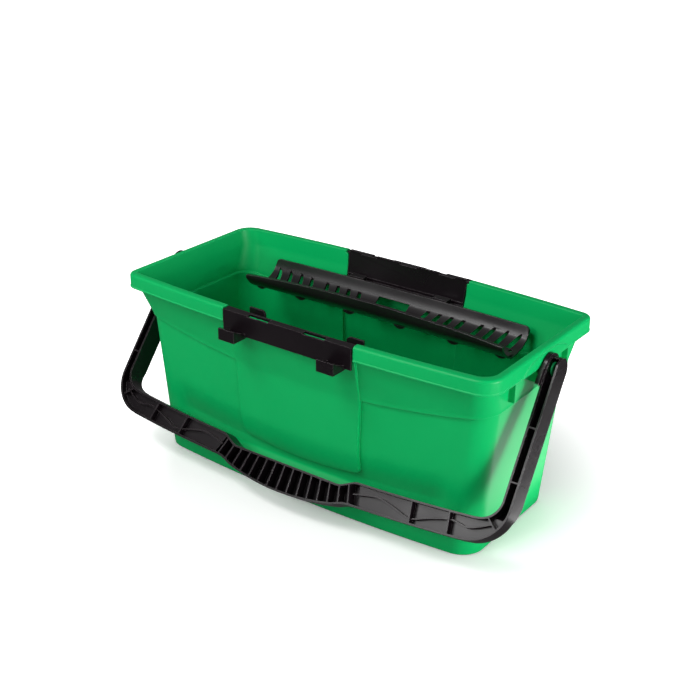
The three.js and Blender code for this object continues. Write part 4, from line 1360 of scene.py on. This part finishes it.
# %% [markdown]
# ## The studio
#
# The bucket stands on a white sweep that is so bright that only a soft shadow shows. The sweep has
# a little glow, and is whiter than it is as a source of light, only where the camera sees it. So it
# looks white without lighting up the foot of the bucket. The glow grows with the distance from the
# bucket, as a sweep does that curves up towards its own lamps. A card on the sweep throws light up
# at the right end, where it shows as a pale sheen.

# %% The floor
FLOOR_HALF = 6
FLOOR_DROP = 0.0002
FLOOR_GLOW = 0.16
FLOOR_GLOW_START, FLOOR_GLOW_FULL = 0.24, 0.42
FLOOR_BOUNCE = 0.55
FLOOR_WHITE = 0.9
FLOOR_ROUGHNESS = 0.7
FLOOR_SHINE = 0.1


def white_floor():
    mesh = bpy.data.meshes.new("floor")
    shape = bmesh.new()
    bmesh.ops.create_grid(shape, x_segments=2, y_segments=2, size=FLOOR_HALF)
    shape.to_mesh(mesh)
    shape.free()
    floor = bpy.data.objects.new("floor", mesh)
    bpy.context.scene.collection.objects.link(floor)
    material = bpy.data.materials.new("white_sweep")
    material.use_nodes = True
    tree = material.node_tree
    shader = tree.nodes["Principled BSDF"]
    seen = tree.nodes.new("ShaderNodeLightPath").outputs["Is Camera Ray"]
    white = blend(tree, seen, (FLOOR_BOUNCE,) * 3, (FLOOR_WHITE,) * 3)
    link(tree, white, shader.inputs["Base Color"])
    shader.inputs["Roughness"].default_value = FLOOR_ROUGHNESS
    shader.inputs["Specular IOR Level"].default_value = FLOOR_SHINE
    place = tree.nodes.new("ShaderNodeTexCoord").outputs["Object"]
    away = calculate(tree, "ShaderNodeVectorMath", "LENGTH", place)
    glow = spread(tree, away, FLOOR_GLOW_START, FLOOR_GLOW_FULL, FLOOR_GLOW, 1)
    link(tree, glow, shader.inputs["Emission Color"])
    link(tree, seen, shader.inputs["Emission Strength"])
    mesh.materials.append(material)
    floor.location.z = -FLOOR_DROP
    floor.visible_glossy = False
    floor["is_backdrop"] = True
    return floor


white_floor()


# %% The lights
def soft_light(name, place, aim, size, power, shine):
    """A rectangular lamp. One without shine lights the surfaces but doesn't mirror in them."""
    data = bpy.data.lights.new(name, "AREA")
    data.shape = "RECTANGLE"
    data.size, data.size_y = size
    data.energy = power
    lamp = bpy.data.objects.new(name, data)
    lamp.location = place
    lamp.rotation_mode = "QUATERNION"
    lamp.rotation_quaternion = (Vector(aim) - Vector(place)).to_track_quat("-Z", "Y")
    lamp.visible_glossy = shine
    bpy.context.scene.collection.objects.link(lamp)
    return lamp


CENTRE = (0, 0, 0.15)
soft_light("right_low", (2.0, 0.0, 0.3), CENTRE, (1.0, 0.4), 36, True)
soft_light("right_card", (0.32, 0.19, 0.004), (0.32, 0.19, 1), (0.08, 0.42), 0.36, True)
soft_light("right_front", (2.0, -1.3, 0.8), CENTRE, (1.0, 0.8), 12, False)
soft_light("front_middle", (-0.6, -1.75, 1.25), CENTRE, (0.8, 0.6), 11, True)
soft_light("front_steep", (-0.4, -1.3, 2.1), CENTRE, (1.2, 0.5), 26, True)
soft_light("left", (-1.8, -1.3, 1.4), CENTRE, (1.0, 0.8), 17, False)
soft_light("back_left", (-1.4, 2.0, 1.1), CENTRE, (1.4, 0.5), 12, False)


# %% The sky of the studio
SKY_LIGHT = 0.16
SKY_SHINE = 0.12


def studio_sky():
    """White where the camera sees it, dimmer as light, and almost gone from reflections."""
    world = bpy.data.worlds.new("studio")
    world.use_nodes = True
    tree = world.node_tree
    tree.nodes.clear()
    path = tree.nodes.new("ShaderNodeLightPath")
    output = tree.nodes.new("ShaderNodeOutputWorld")
    skies = []
    for strength in (SKY_LIGHT, SKY_SHINE, 1):
        sky = tree.nodes.new("ShaderNodeBackground")
        sky.inputs["Color"].default_value = (1, 1, 1, 1)
        sky.inputs["Strength"].default_value = strength
        skies.append(sky.outputs[0])
    shown = skies[0]
    for ray, sky in (("Is Glossy Ray", skies[1]), ("Is Camera Ray", skies[2])):
        choice = tree.nodes.new("ShaderNodeMixShader")
        link(tree, path.outputs[ray], choice.inputs[0])
        link(tree, shown, choice.inputs[1])
        link(tree, sky, choice.inputs[2])
        shown = choice.outputs[0]
    link(tree, shown, output.inputs["Surface"])
    bpy.context.scene.world = world


studio_sky()
bpy.context.scene.view_settings.view_transform = "Standard"

# %% [markdown]
# ## The size
#
# The size of the visible pieces together is printed before the script ends. The visual model must
# not be bigger than the imported one.

# %% Write the sizes and finish
low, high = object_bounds()
print("sizes:", [round(b - a, 4) for a, b in zip(low, high)])
